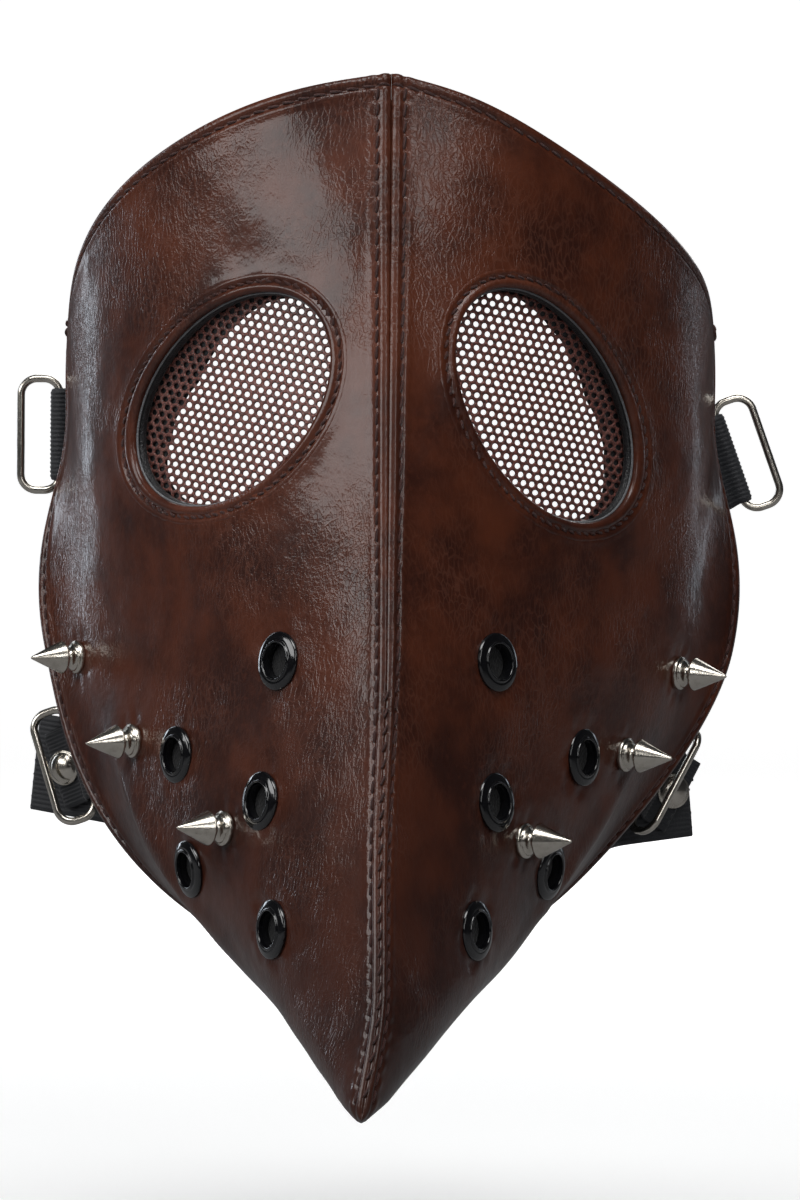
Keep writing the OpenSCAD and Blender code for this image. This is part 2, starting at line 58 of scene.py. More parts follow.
# Control net of a panel for +X, in mm: stations from the brow hem down to the beak tip,
# each with lines from the ridge seam out to the rear hem or the under seam
NET = [
    [[0, -92, 77], [20, -90, 74.5], [40, -80, 69], [59, -62, 60], [73, -42, 49], [81, -22, 36], [83, -4, 22]],
    [[0, -98, 50], [18, -94, 48], [39, -83, 43], [59, -63, 36], [74, -40, 28], [81, -20, 18], [84, -3, 8]],
    [[0, -107, 18], [16, -100, 16], [38, -85, 12], [60, -61, 6], [76, -37, 0], [82, -17, -5], [83, -1, -9]],
    [[0, -116, -18], [15, -107, -19], [37, -88, -21], [60, -61, -23], [76, -36, -25], [81, -18, -28],
     [90, -4, -30]],
    [[0, -124, -50], [14, -112, -50], [35, -90, -50], [58, -61, -51], [74, -36, -52], [81, -20, -54],
     [91, -7, -53]],
    [[0, -134, -80], [13, -120, -79], [32, -96, -77], [53, -67, -76], [68, -44, -76], [75, -30, -77],
     [83, -20, -79]],
    [[0, -144, -108], [11, -130, -107], [28, -106, -105], [46, -78, -103], [57, -60, -103], [60, -48, -104],
     [66, -40, -106]],
    [[0, -153, -132], [9, -141, -131], [21, -120, -129], [32, -98, -128], [38, -84, -128], [38, -70, -130],
     [37, -60, -133]],
    [[0, -159, -148], [6, -151, -147], [14, -137, -146], [20, -121, -145], [21, -106, -145], [13, -85, -145],
     [-6, -66, -141]],
    [[0, -162, -157], [3, -158, -156], [7, -151, -156], [10, -141, -156], [10, -130, -156], [5, -116, -155],
     [0, -104, -154]],
    [[0, -163, -163], [1, -162, -163], [2, -160, -164], [2.5, -157, -164], [2.5, -154, -164],
     [1.5, -151, -164], [0, -150, -164]],
]
BROW_DIP = np.array([0, 2, 7, 9, 8, 3.5, 0])  # how far the right brow hem dips, by line
STATIONS, LINES = len(NET) - 1, len(NET[0]) - 1
THROAT = 8.1  # station at which the two jaw hems meet
LINING_END = 9.0
JAW_LEAN, TIP_LEAN = 4.4, 4.2
SEAM_GAP = 0.012
SLOPE_STEP = 0.02  # small step on the net, for slopes

LEATHER_T, LAYER_GAP, LINING_T = 1.2, 0.3, 1.5
STACK_T = LEATHER_T + LAYER_GAP + LINING_T
NET_DEPTH = STACK_T + 1.2

# Net places [station, line] of the vents and spikes, in order down the mask
EYELETS = [[4.45, 1.6], [5.35, 3.0], [5.65, 1.9], [6.4, 3.4], [6.85, 2.15]]
SPIKES = [
    [[4.4, 5.0], [5.25, 3.75], [5.95, 2.45]],
    [[4.55, 4.4], [5.35, 3.8], [6.05, 2.5]],
]
EYE_CENTRE = [[38.7, -0.3], [38.3, -1.3]]  # x outward and z of each opening
EYE_HALF, EYE_TILT = [[29, 20.3], [30.5, 18.7]], [48, 59]


def with_phantoms(points, *ways):
    """Points with one more past each end, so that a spline through them ends on the last."""
    return np.pad(np.array(points, float), ways, "reflect", reflect_type="odd")


def side_net(side):
    dips = np.zeros((STATIONS + 1, LINES + 1, 3))
    if side == RIGHT:
        dips[0, :, 2], dips[1, :, 2] = BROW_DIP, BROW_DIP / 2
    return with_phantoms(NET - dips, (1, 1), (1, 1), (0, 0))


SIDE_NETS = {side: side_net(side) for side in SIDES}


def weights(f):
    """Uniform cubic B-spline weights of the four controls round a point."""
    return np.stack([(1 - f) ** 3, 3 * f**3 - 6 * f * f + 4, 1 + 3 * (f + f * f - f**3), f**3], -1) / 6


def arrays(u, v):
    return np.broadcast_arrays(np.asarray(u, float), np.asarray(v, float))


def straight(side, u, v):
    """Point of the surface before the lean, with x outward, in mm."""
    u, v = arrays(u, v)
    i = np.clip(np.floor(u), 0, STATIONS - 1).astype(int)
    j = np.clip(np.floor(v), 0, LINES - 1).astype(int)
    wu, wv = weights(u - i), weights(v - j)
    net = SIDE_NETS[side]
    return sum(
        (wu[..., a] * wv[..., b])[..., None] * net[i + a, j + b] for a in range(4) for b in range(4)
    )


def unit(v):
    return v / np.maximum(np.linalg.norm(v, axis=-1, keepdims=True), 1e-9)


def distance(side, p, u, v):
    """Distance of points from places on the straight surface, in mm."""
    return np.linalg.norm(p - straight(side, u, v), axis=-1)


def run_along(line):
    """Length of a line of points up to each of them."""
    return np.concatenate([[0], np.cumsum(np.linalg.norm(np.diff(line, axis=0), axis=1))])


def outward(side, u, v):
    """Outward normal of the straight surface, with x outward."""
    u, v = arrays(u, v)
    u0, u1 = np.maximum(0, u - SLOPE_STEP), np.minimum(STATIONS, u + SLOPE_STEP)
    v0, v1 = np.maximum(0, v - SLOPE_STEP), np.minimum(LINES, v + SLOPE_STEP)
    along = straight(side, u1, v) - straight(side, u0, v)
    across = straight(side, u, v1) - straight(side, u, v0)
    return unit(np.cross(along, across))


def ease(t):
    t = np.clip(t, 0, 1)
    return t * t * (3 - 2 * t)


def settle(side, p):
    """Mirrors a straight point to its side and leans it to the left, as the worn leather does."""
    x, y, z = side * np.maximum(SEAM_GAP, p[..., 0]), p[..., 1], p[..., 2]
    jaw = ease((-60 - z) / 60) * (1.2 + JAW_LEAN * np.maximum(0, y + 150) / 100)
    tip = ease((-135 - z) / 35) * TIP_LEAN
    return np.stack([x - jaw - tip, y, z], -1)


def thinning(u):
    """The shell thins towards the beak tip."""
    return 1 - 0.7 * ease(np.asarray(u, float) - LINING_END)


TIP_ROUND = 0.55  # stations over which the beak rounds off to its tip


def tip_taper(u):
    """Share of the width left at a station, so that the beak ends in a round tip."""
    part = np.clip((np.asarray(u, float) - STATIONS + TIP_ROUND) / TIP_ROUND, 0, 1)
    return np.sqrt(1 - part**2)


def skin(side, u, v, height):
    """Settled point at a height above the panel's surface, or at a depth if it is negative."""
    u, v = arrays(u, v)
    height = np.asarray(height, float)[..., None]
    p = straight(side, u, v) + height * outward(side, u, v)
    return settle(side, np.concatenate([p[..., :1] * tip_taper(u)[..., None], p[..., 1:]], -1))


def locate(side, x, z, steps=9):
    """Net places whose surface points have the given x outward and z, from a rough first guess."""
    u, v = 2 + (10 - z) / 31, x / 20
    h = SLOPE_STEP
    for _ in range(steps):
        p = straight(side, u, v)
        du = (straight(side, u + h, v) - p) / h
        dv = (straight(side, u, v + h) - p) / h
        mx, mz = x - p[..., 0], z - p[..., 2]
        area = du[..., 0] * dv[..., 2] - dv[..., 0] * du[..., 2]
        u = u + (mx * dv[..., 2] - mz * dv[..., 0]) / area
        v = v + (du[..., 0] * mz - du[..., 2] * mx) / area
    return u, v


def eye_frame(side):
    """Centre of an opening, its long and short ways, and half its length and width."""
    tilt = math.radians(pick(side, EYE_TILT))
    ways = [[math.cos(tilt), -math.sin(tilt)], [math.sin(tilt), math.cos(tilt)]]
    return np.array(pick(side, EYE_CENTRE)), np.array(ways), np.array(pick(side, EYE_HALF))


def eye_outline(side, angle, grow):
    """x outward and z of an eye opening's edge, grown by some mm."""
    centre, ways, half = eye_frame(side)
    reach = half + np.reshape(grow, (-1, 1))
    p = centre + reach * np.stack([np.cos(angle), np.sin(angle)], -1) @ ways
    return p[..., 0], p[..., 1]


def eye_gap(side, x, z):
    """Distance outside the edge of the eye opening, about right near it; negative inside."""
    centre, ways, half = eye_frame(side)
    p = (np.stack([x, z], -1) - centre) @ ways.T / half
    r = np.maximum(np.linalg.norm(p, axis=-1), 1e-6)
    return (r - 1) * r / np.maximum(np.linalg.norm(p / half, axis=-1), 1e-6)


# ---- Relief of the leather ----

# Humps and grooves beside each edge, as (height, distance from the edge, width) in mm
SEAM_HUMPS = [(-0.95, 0, 0.5), (0.5, 1.75, 0.8), (-0.32, 3.3, 0.42), (0.16, 4.7, 0.9)]
HEM_HUMPS = [(0.3, 1.2, 0.8), (-0.4, 2.6, 0.42), (0.18, 4.1, 0.9)]
EYE_HUMPS = [(0.4, 1.2, 0.75), (-0.42, 2.6, 0.42), (0.22, 3.9, 0.9)]

FLANGE_R = {"vent": 7.0, "spike": 4.2}
PRESS_FADE, PRESS_DEPTH = 5.0, 0.25  # how far past a flange the leather is drawn down, and how deep
PUCKER_RISE, PUCKER_AT, PUCKER_WIDTH = 0.16, 1.6, 1.5

FOLD_LINE, FOLD_DRIFT = 4.25, -0.12  # net line of the jaw fold at station 6, and its drift per station
FOLD_START, FOLD_RISE = 5.2, 1.7
FOLD_FRONT, FOLD_UNDER = 7.0, 2.1  # how far the fold fades towards the cheek and under the jaw

FLAT_EDGE, FLAT_EYE = 9, 8  # width beside edges and openings over which the waves of the leather fade
WAVE_HEIGHTS, WAVE_LENGTHS = (0.2, 0.05), (36, 13)
NARROW = 14  # width of the beak below which the edges' relief fades
STITCH_PITCH = 4.0
TUG_RISE, TUG_AT, TUG_WIDTH = 0.15, 4.4, 1.1  # pull of the ridge stitches beside their row


def hump(d, centre, width):
    return np.exp(-(((d - centre) / width) ** 2))


def profile_height(d, humps):
    return sum(height * hump(d, centre, width) for height, centre, width in humps)


def waves(p, wavelength, seed, count=7):
    """Smooth noise from -1 to 1 or so: a sum of plane waves in random directions."""
    rng = np.random.default_rng(seed)
    total = 0
    for _ in range(count):
        direction = rng.normal(size=3)
        direction /= np.linalg.norm(direction)
        length = wavelength * rng.uniform(0.75, 1.35)
        total = total + np.sin(2 * math.pi * (p @ direction) / length + rng.uniform(0, 2 * math.pi))
    return total / math.sqrt(count)


def pressed(side, p, n, height):
    """The leather drawn flat under each flange, with short radial puckers round it."""
    hardware = [(place, FLANGE_R["vent"]) for place in EYELETS]
    hardware += [(place, FLANGE_R["spike"]) for place in pick(side, SPIKES)]
    for index, (place, edge) in enumerate(hardware):
        normal = outward(side, *place)
        offset = p - straight(side, *place)
        r = np.linalg.norm(offset, axis=-1)
        near = r < edge + PRESS_FADE + 1
        r, offset = r[near], offset[near]
        flat = -(offset @ normal) / np.maximum(n[near] @ normal, 0.5) - PRESS_DEPTH
        hold = 1 - ease((r - edge - 0.2) / PRESS_FADE)
        x_way = unit(np.cross([0, 0, 1], normal))
        angle = np.arctan2(offset @ np.cross(normal, x_way), offset @ x_way)
        count = 6 + index % 3
        pucker = PUCKER_RISE * np.cos(count * angle + index) * hump(r, edge + PUCKER_AT, PUCKER_WIDTH)
        height[near] = height[near] * (1 - hold) + flat * hold + pucker
    return height


def jaw_fold(side, u, v, p, rear):
    """Rounded fold where the side of the beak turns under towards the jaw hem."""
    line = FOLD_LINE + FOLD_DRIFT * (u - 6)
    d = np.sign(v - line) * distance(side, p, u, line)
    shape = np.where(d < 0, hump(d, 0, FOLD_FRONT), hump(d, 0, FOLD_UNDER))
    return FOLD_RISE * shape * ease(u - FOLD_START) * ease(THROAT - u) * ease(rear / 7)


def arc_down(side, u):
    """Length of the ridge from the brow down to a station, in mm."""
    stations = np.linspace(0, STATIONS, 401)
    return np.interp(u, stations, run_along(straight(side, stations, 0)))


def relief(side, u, v):
    """Height of the finished leather over the CAD surface, in mm."""
    u, v = arrays(u, v)
    p, n = straight(side, u, v), outward(side, u, v)
    ridge, brow, rear = (distance(side, p, *edge) for edge in ((u, 0), (0, v), (u, LINES)))
    gap = eye_gap(side, p[..., 0], p[..., 2])
    width = np.linalg.norm(straight(side, u, LINES / 2) - straight(side, u, 0), axis=-1)

    plain = ease(np.minimum(np.minimum(ridge, brow), rear) / FLAT_EDGE) * ease((np.abs(gap) - 2) / FLAT_EYE)
    height = plain * sum(
        rise * waves(p, length, seed + side) for rise, length, seed in zip(WAVE_HEIGHTS, WAVE_LENGTHS, (3, 8))
    )
    tug = TUG_RISE * np.cos(2 * math.pi * arc_down(side, u) / STITCH_PITCH) * hump(ridge, TUG_AT, TUG_WIDTH)
    edges = profile_height(ridge, SEAM_HUMPS) + tug + profile_height(np.minimum(brow, rear), HEM_HUMPS)
    height = height + ease(width / NARROW) * edges
    height = height + profile_height(gap, EYE_HUMPS) * (gap > -3) + jaw_fold(side, u, v, p, rear)
    return pressed(side, p, n, height)


# ---- Meshes ----


def make_object(name, points, faces, material, uv=None):
    """A smooth mesh object from points in mm."""
    mesh = bpy.data.meshes.new(name)
    points = (np.asarray(points).reshape(-1, 3) * MM).tolist()
    mesh.from_pydata(points, [], [list(map(int, face)) for face in faces])
    mesh.validate()
    mesh.polygons.foreach_set("use_smooth", [True] * len(mesh.polygons))
    if uv is not None:
        layer = mesh.uv_layers.new(name="thread")
        corners = np.zeros(len(mesh.loops), np.int32)
        mesh.loops.foreach_get("vertex_index", corners)
        layer.data.foreach_set("uv", np.asarray(uv, np.float32).reshape(-1, 2)[corners].ravel())
    mesh.materials.append(material)
    return link_object(name, mesh)


def link_object(name, data):
    made = bpy.data.objects.new(name, data)
    bpy.context.scene.collection.objects.link(made)
    return made


def make_solid(name, points, faces, material, uv=None):
    """A closed mesh object with its faces turned outwards."""
    made = make_object(name, points, faces, material, uv)
    mesh = made.data
    mesh.calc_loop_triangles()
    corners = np.zeros(len(mesh.loop_triangles) * 3, np.int32)
    mesh.loop_triangles.foreach_get("vertices", corners)
    a, b, c = np.swapaxes(np.reshape(points, (-1, 3))[corners.reshape(-1, 3)], 0, 1)
    if np.sum(a * np.cross(b, c)) < 0:
        mesh.flip_normals()
    return made


def place_piece(made, slot, *replaced, body="mask"):
    """Rides a finished piece on its CAD body."""
    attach(made, body)
    if replaced:
        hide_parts(*replaced)
    return made


def circle(steps):
    return np.linspace(0, 2 * math.pi, steps, endpoint=False)


def grid_faces(rows, columns, loop_rows=False, loop_columns=False):
    """Quads of a grid of points, closed on itself either way if asked."""
    i, j = np.meshgrid(
        np.arange(rows if loop_rows else rows - 1),
        np.arange(columns if loop_columns else columns - 1),
        indexing="ij",
    )
    i1, j1 = (i + 1) % rows, (j + 1) % columns
    corners = [i * columns + j, i * columns + j1, i1 * columns + j1, i1 * columns + j]
    return np.stack(corners, -1).reshape(-1, 4)


def sweep_faces(count, n, loop=False):
    """Faces of a solid through rings of n points, with a cap at each end unless it is a loop."""
    faces = grid_faces(count, n, loop_rows=loop, loop_columns=True).tolist()
    if not loop:
        faces += [list(range(n))[::-1], list(range((count - 1) * n, count * n))]
    return faces


def sweep(name, rings, material, loop=False):
    """Solid through rings of points: rings[i][k] is point k of ring i."""
    rings = np.asarray(rings)
    return make_solid(name, rings, sweep_faces(*rings.shape[:2], loop), material)


def sweep_lines(name, lines, material, loop=False):
    """Solid through lines of points that run along it side by side."""
    return sweep(name, np.swapaxes(np.array(lines), 0, 1), material, loop)


def boundary_walls(faces, offset):
    """Quads that join each open edge of a sheet to the same edge of its copy at an offset."""
    edges = np.concatenate([faces[:, [k, (k + 1) % 4]] for k in range(4)])
    key = np.sort(edges, axis=1)
    _, first, uses = np.unique(key, axis=0, return_index=True, return_counts=True)
    a, b = edges[first[uses == 1]].T
    return np.stack([b, a, a + offset, b + offset], -1)


def shell(name, outer, inner, keep, material):
    """Closed shell between two grids of points, with only the kept quads."""
    rows, columns = outer.shape[:2]
    faces = grid_faces(rows, columns)[keep.ravel()]
    out, back = outer.reshape(-1, 3), inner.reshape(-1, 3)
    a, b, c = (out[faces[:, k]] for k in range(3))
    facing = np.sum(np.cross(b - a, c - a) * (a - back[faces[:, 0]]), axis=1)
    if np.median(facing) < 0:
        faces = faces[:, ::-1]
    count = rows * columns
    every = np.concatenate([faces, faces[:, ::-1] + count, boundary_walls(faces, count)])
    used, every = np.unique(every, return_inverse=True)
    return make_object(name, np.concatenate([out, back])[used], every.reshape(-1, 4), material)


# ---- Materials ----


def is_socket(value):
    return isinstance(value, bpy.types.NodeSocket)


def node(kind, inputs, tree=None, **settings):
    """Adds a shader node, beside those whose output sockets it takes as inputs."""
    tree = tree or next(value.id_data for value in inputs.values() if is_socket(value))
    made = tree.nodes.new("ShaderNode" + kind)
    for key, value in settings.items():
        setattr(made, key, value)
    for key, value in inputs.items():
        if is_socket(value):
            tree.links.new(value, made.inputs[key])
        else:
            made.inputs[key].default_value = value
    return made


def calc(operation, *values):
    return node("Math", dict(enumerate(values)), operation=operation).outputs[0]


def times(a, b):
    return calc("MULTIPLY", a, b)


def flipped(value):
    return calc("SUBTRACT", 1.0, value)


def ramp(value, low, high, start=0.0, end=1.0):
    """start below low, end above high, smooth between."""
    inputs = {"Value": value, "From Min": low, "From Max": high, "To Min": start, "To Max": end}
    return node("MapRange", inputs, interpolation_type="SMOOTHSTEP").outputs["Result"]


def mix(share, a, b):
    first, second = (value if is_socket(value) else (*value, 1) for value in (a, b))
    return node("Mix", {"Factor": share, 6: first, 7: second}, data_type="RGBA").outputs[2]


def noise(where, scale, detail=3.0, roughness=0.55):
    inputs = {"Vector": where, "Scale": scale, "Detail": detail, "Roughness": roughness}
    return node("TexNoise", inputs).outputs["Fac"]


def cells(where, scale, feature):
    return node("TexVoronoi", {"Vector": where, "Scale": scale}, feature=feature).outputs["Distance"]


def bump(height, distance, below=None):
    inputs = {"Height": height, "Distance": distance, "Strength": 1.0}
    if below is not None:
        inputs["Normal"] = below
    return node("Bump", inputs).outputs["Normal"]


def shader_input(made, key):
    return made.node_tree.nodes["Principled BSDF"].inputs[key.replace("_", " ")]


def new_material(name, **principled):
    """A material and its object-space coordinates."""
    made = bpy.data.materials.new(name)
    made.use_nodes = True
    for key, value in principled.items():
        shader_input(made, key).default_value = value
    return made, node("TexCoord", {}, made.node_tree).outputs["Object"]


def finished(made, **sockets):
    """The material, with the last nodes linked to its shader."""
    for key, socket in sockets.items():
        made.node_tree.links.new(socket, shader_input(made, key))
    return made


def stretched(where, scale, turn):
    return node("Mapping", {"Vector": where, "Scale": scale, "Rotation": turn}).outputs[0]


def warped(where, scale, amount):
    """Coordinates pushed about by noise, so that a pattern's lines wander."""
    push = node("TexNoise", {"Vector": where, "Scale": scale, "Detail": 2.0}).outputs["Color"]
    centred = node("VectorMath", {0: push, 1: (0.5, 0.5, 0.5)}, operation="SUBTRACT").outputs[0]
    scaled = node("VectorMath", {0: centred, "Scale": amount}, operation="SCALE").outputs[0]
    return node("VectorMath", {0: where, 1: scaled}, operation="ADD").outputs[0]


def crease_lines(where, scale, width):
    """1 on the lines between cells, 0 inside them."""
    return flipped(ramp(cells(where, scale, "DISTANCE_TO_EDGE"), 0.0, width))


def leather_material():
    """Glossy reddish-brown coated leather with a fine crackle and patches of creases, with painted shade
    towards the beak and painted glints on the crease lines.
    """
    made, where = new_material(
        "leather", Coat_Weight=0.6, Coat_Roughness=0.13, Coat_IOR=1.45, Specular_IOR_Level=0.2)
    wander = warped(where, 90, 0.006)
    along = stretched(wander, (1, 1, 0.34), (0.2, 0.35, 0))
    across = stretched(wander, (0.7, 0.7, 1), (0.5, -0.3, 0.4))
    patches = ramp(noise(where, 24, 3.0, 0.6), 0.36, 0.62)
    lines = times(crease_lines(along, 760, 0.15), patches)
    crossing = times(crease_lines(across, 1100, 0.2), patches)

    tone = ramp(noise(where, 32, 4.0, 0.6), 0.36, 0.66)
    mottle = ramp(noise(where, 520, 3.0, 0.65), 0.5, 0.72)
    height = node("SeparateXYZ", {"Vector": where}).outputs["Z"]
    # Painted shade: the leather's colour is darkened towards the bottom and the beak, where less light falls.
    painted_shade_low = flipped(ramp(height, -0.165, -0.03))
    colour = mix(tone, (0.036, 0.0095, 0.0055), (0.105, 0.0262, 0.0112))
    # The light tint on the crease lines is a painted glint.
    tints = [(mottle, 0.4, (0.1, 0.027, 0.0135)), (lines, 0.35, (0.16, 0.06, 0.038)),
             (painted_shade_low, 0.62, (0.021, 0.0075, 0.0055))]
    for mask, share, tint in tints:
        colour = mix(times(mask, share), colour, tint)

    rough = calc("MULTIPLY_ADD", noise(where, 300), 0.2, 0.3)
    soft = bump(noise(where, 150), 0.0002)
    fine = bump(cells(wander, 1900.0, "SMOOTH_F1"), 0.000014, soft)
    cross = bump(crossing, 0.000018, fine)
    top = bump(lines, 0.000032, cross)
    return finished(made, Base_Color=colour, Roughness=rough, Normal=top, Coat_Normal=top)


def fabric_material(name, dark, light, scale, gloss=0.85):
    """Close knit cloth in one dark colour with a little lint."""
    made, where = new_material(name, Roughness=gloss, Sheen_Weight=0.12, Sheen_Roughness=0.5)
    lint = ramp(noise(where, 900, 4.0, 0.7), 0.55, 0.75)
    soft = bump(noise(where, 120), 0.0004)
    weave = bump(cells(where, scale, "F1"), 0.00018, soft)
    return finished(made, Base_Color=mix(times(lint, 0.5), dark, light), Normal=weave)


def thread_material():
    """Twisted sewing thread: stripes run round it, along the thread's own coordinates, with painted shade in
    the grooves between the plies.
    """
    made, where = new_material("thread", Roughness=0.55, Sheen_Weight=0.06)
    along = node("UVMap", {}, made.node_tree, uv_map="thread").outputs["UV"]
    inputs = {"Vector": along, "Scale": 2.2, "Distortion": 0.4}
    ply_and_painted_light = node("TexWave", inputs, wave_type="BANDS", bands_direction="DIAGONAL").outputs["Fac"]
    fuzz = noise(where, 2600, 2.0)
    # Painted shade: the colour darkens with the ply bump's height, in the grooves between the plies.
    colour = mix(times(ply_and_painted_light, fuzz), (0.02, 0.006, 0.005), (0.19, 0.055, 0.04))
    return finished(made, Base_Color=colour, Normal=bump(ply_and_painted_light, 0.00009, bump(fuzz, 0.00005)))


def net_material():
    """Copper-brown polyester net thread, with painted highlights on the ply crests and painted shade between
    them.
    """
    made, where = new_material("eye_net", Roughness=0.45, Sheen_Weight=0.1, Coat_Weight=0.3)
    ply_and_painted_light = noise(where, 2400, 3.0, 0.7)
    tone = ramp(noise(where, 180, 2.0), 0.5, 0.8)
    # Painted highlight and shade: the colour follows the ply bump, light on the crests and dark in the
    # hollows.
    colour = mix(ramp(ply_and_painted_light, 0.38, 0.66), (0.028, 0.008, 0.006), (0.3, 0.09, 0.066))
    colour = mix(times(tone, 0.4), colour, (0.34, 0.16, 0.13))
    return finished(made, Base_Color=colour, Normal=bump(ply_and_painted_light, 0.0002))


def enamel_material():
    """Glossy black stove enamel with the faintest orange peel and dust."""
    made, where = new_material("enamel", Coat_Weight=0.6, Coat_Roughness=0.04)
    dust = ramp(noise(where, 1400, 4.0, 0.75), 0.62, 0.82)
    colour = mix(times(dust, 0.25), (0.004, 0.004, 0.005), (0.05, 0.05, 0.055))
    rough = calc("MULTIPLY_ADD", dust, 0.2, 0.13)
    peel = bump(noise(where, 700, 2.0), 0.00003)
    return finished(made, Base_Color=colour, Roughness=rough, Normal=peel)


def nickel_material(name, mark_depth):
    """Bright nickel plate, a little warm, with fine turning marks and light handling wear."""
    made, where = new_material(name, Metallic=1.0)
    wear = noise(where, 420, 4.0, 0.65)
    colour = mix(ramp(wear, 0.4, 0.75), (0.66, 0.62, 0.55), (0.5, 0.46, 0.4))
    rough = calc("MULTIPLY_ADD", times(wear, noise(where, 90)), 0.5, 0.09)
    marks = bump(noise(where, 3200, 2.0), mark_depth)
    return finished(made, Base_Color=colour, Roughness=rough, Normal=marks)


def webbing_material():
    """Black ribbed nylon webbing."""
    made, where = new_material("webbing", Roughness=0.62, Sheen_Weight=0.15)
    fibres = noise(where, 2200, 3.0, 0.7)
    lint = ramp(noise(where, 700, 4.0, 0.75), 0.6, 0.8)
    colour = mix(fibres, (0.004, 0.0045, 0.006), (0.022, 0.024, 0.03))
    colour = mix(times(lint, 0.3), colour, (0.09, 0.09, 0.1))
    return finished(made, Base_Color=colour, Normal=bump(fibres, 0.00015))


LEATHER = leather_material()
LINING = fabric_material("lining", (0.004, 0.004, 0.0045), (0.014, 0.014, 0.0155), 1500)
TAPE = fabric_material("seam_tape", (0.012, 0.012, 0.014), (0.04, 0.04, 0.044), 2400, 0.7)
FOAM_EDGE = fabric_material("foam_edge", (0.006, 0.0065, 0.008), (0.02, 0.021, 0.024), 2600, 0.42)
CUT_EDGE = fabric_material("cut_edge", (0.16, 0.165, 0.175), (0.34, 0.34, 0.36), 2600, 0.5)
THREAD = thread_material()
NET_THREAD = net_material()
ENAMEL = enamel_material()
NICKEL = nickel_material("nickel", 0.000016)
TURNED = nickel_material("turned_nickel", 0.00003)
WEBBING = webbing_material()


# ---- Leather panels ----

# Points lie close together beside the seam, the hem and the brow: widths in mm and steps
SEAM_ZONE, SEAM_STEPS = 6.5, 15
HEM_ZONE, HEM_STEPS = 6.0, 12
MIDDLE_STEPS = 116
BROW_STATIONS, BROW_STEPS = 0.24, 13
BODY_STEPS = 205
EYE_CUT, VENT_CUT = 1.9, 5.3  # where the leather ends round an opening and inside a vent's flange


def row_lines(side, u):
    """Lines at which one station's row of points lies."""
    fine = np.linspace(0, LINES, 241)
    run = run_along(straight(side, u, fine))
    whole = run[-1]
    seam, hem_start = min(SEAM_ZONE, 0.3 * whole), whole - min(HEM_ZONE, 0.2 * whole)
    goals = np.concatenate([
        np.linspace(0, seam, SEAM_STEPS, endpoint=False),
        np.linspace(seam, hem_start, MIDDLE_STEPS, endpoint=False),
        np.linspace(hem_start, whole, HEM_STEPS + 1),
    ])
    return np.interp(goals, run, fine)


def panel_grid(side):
    stations = np.concatenate([
        np.linspace(0, BROW_STATIONS, BROW_STEPS, endpoint=False),
        np.linspace(BROW_STATIONS, STATIONS, BODY_STEPS + 1),
    ])
    return arrays(stations[:, None], np.stack([row_lines(side, u) for u in stations]))


def outside_holes(side, p, eye_cut, places=()):
    """True for the quads of a grid that an opening or a vent doesn't take away."""
    middles = (p[:-1, :-1] + p[1:, :-1] + p[:-1, 1:] + p[1:, 1:]) / 4
    keep = eye_gap(side, middles[..., 0], middles[..., 2]) > eye_cut
    for place in places:
        keep &= distance(side, middles, *place) > VENT_CUT
    return keep


def panel(side):
    u, v = panel_grid(side)
    height = relief(side, u, v)
    outer = skin(side, u, v, height)
    inner = skin(side, u, v, np.minimum(height, 0) - LEATHER_T * thinning(u))
    keep = outside_holes(side, straight(side, u, v), EYE_CUT, EYELETS)
    name = SIDES[side]
    return place_piece(shell(f"{name}_leather", outer, inner, keep, LEATHER), "leather", f"{name}_panel")


# ---- Turned hems, eye welts ----

# Cross-section of a hem, from its outer leaf to its inner one: distances from the edge, and
# how far above the relief or deeper than the lining each lies
HEM_OUTSIDE = [(5.0, -0.15), (4.4, 0.0)]
HEM_OUTSIDE += [(d, 0.03) for d in (3.9, 3.5, 3.15, 2.9, 2.65, 2.4, 2.1, 1.7, 1.3, 0.9)]
HEM_INSIDE = [(0.9, 0.14), (2.6, 0.28), (4.8, 0.34), (6.6, 0.3), (7.0, 0.08), (6.6, -0.4)]
HEM_START, HEM_REACH = 0.9, 1.3  # where the rounded edge starts, and how far it bulges

# Cross-section of an eye welt: its leaf on the leather, then its roll into the opening
WELT_LEAF = [(4.9, (-0.15,)), (4.3, (0.0,))]
WELT_LEAF += [(gap, (0.03,)) for gap in (3.8, 3.3, 2.95, 2.6, 2.25, 1.8, 1.3, 0.85)]
WELT_ROLL = [(0.5, 0.2), (0.2, -0.05), (0.04, -0.4), (0.0, -0.8), (0.03, -1.25), (0.2, -1.5), (0.6, -1.6),
             (3.6, -1.5), (4.4, -1.1), (4.7, -0.6)]
LINING_EDGE = [(2.6, -1.75), (0.5, -1.62), (-0.1, -1.75), (-0.42, -2.1), (-0.5, -2.6), (-0.5, -3.3),
               (-0.3, -3.75), (0.4, -3.95), (2.6, -3.95)]
CUT_AT, CUT_R = (-0.12, -1.38), 0.24
SHADE_LIP_REACH = [7.2, 4.8]  # how far the dark cloth behind each net reaches into the opening, at its widest: painted shade seen through the net
SHADE_LIP_MIDDLE = math.radians(72)


def hem_path(side):
    """Stations and lines along the free hem, with the way inwards per mm at each."""
    brow, rear = np.linspace(0, LINES, 170), np.linspace(0, THROAT, 260)
    fan = np.linspace(0, 1, 9)[1:-1]
    u = np.concatenate([0 * brow, 0 * fan, rear])
    v = np.concatenate([brow, 0 * fan + LINES, 0 * rear + LINES])
    turn = np.concatenate([0 * brow, fan, 0 * rear + 1]) * math.pi / 2
    h = SLOPE_STEP
    inside_u, inside_v = np.minimum(u, STATIONS - h), np.minimum(v, LINES - h)
    per_u = distance(side, straight(side, inside_u + h, v), inside_u, v) / h
    per_v = distance(side, straight(side, u, inside_v + h), u, inside_v) / h
    return u, v, np.cos(turn) / per_u, -np.sin(turn) / per_v


def on_leather(side, u, v, lift):
    """Point at some mm over the finished leather."""
    return skin(side, u, v, relief(side, u, v) + lift)


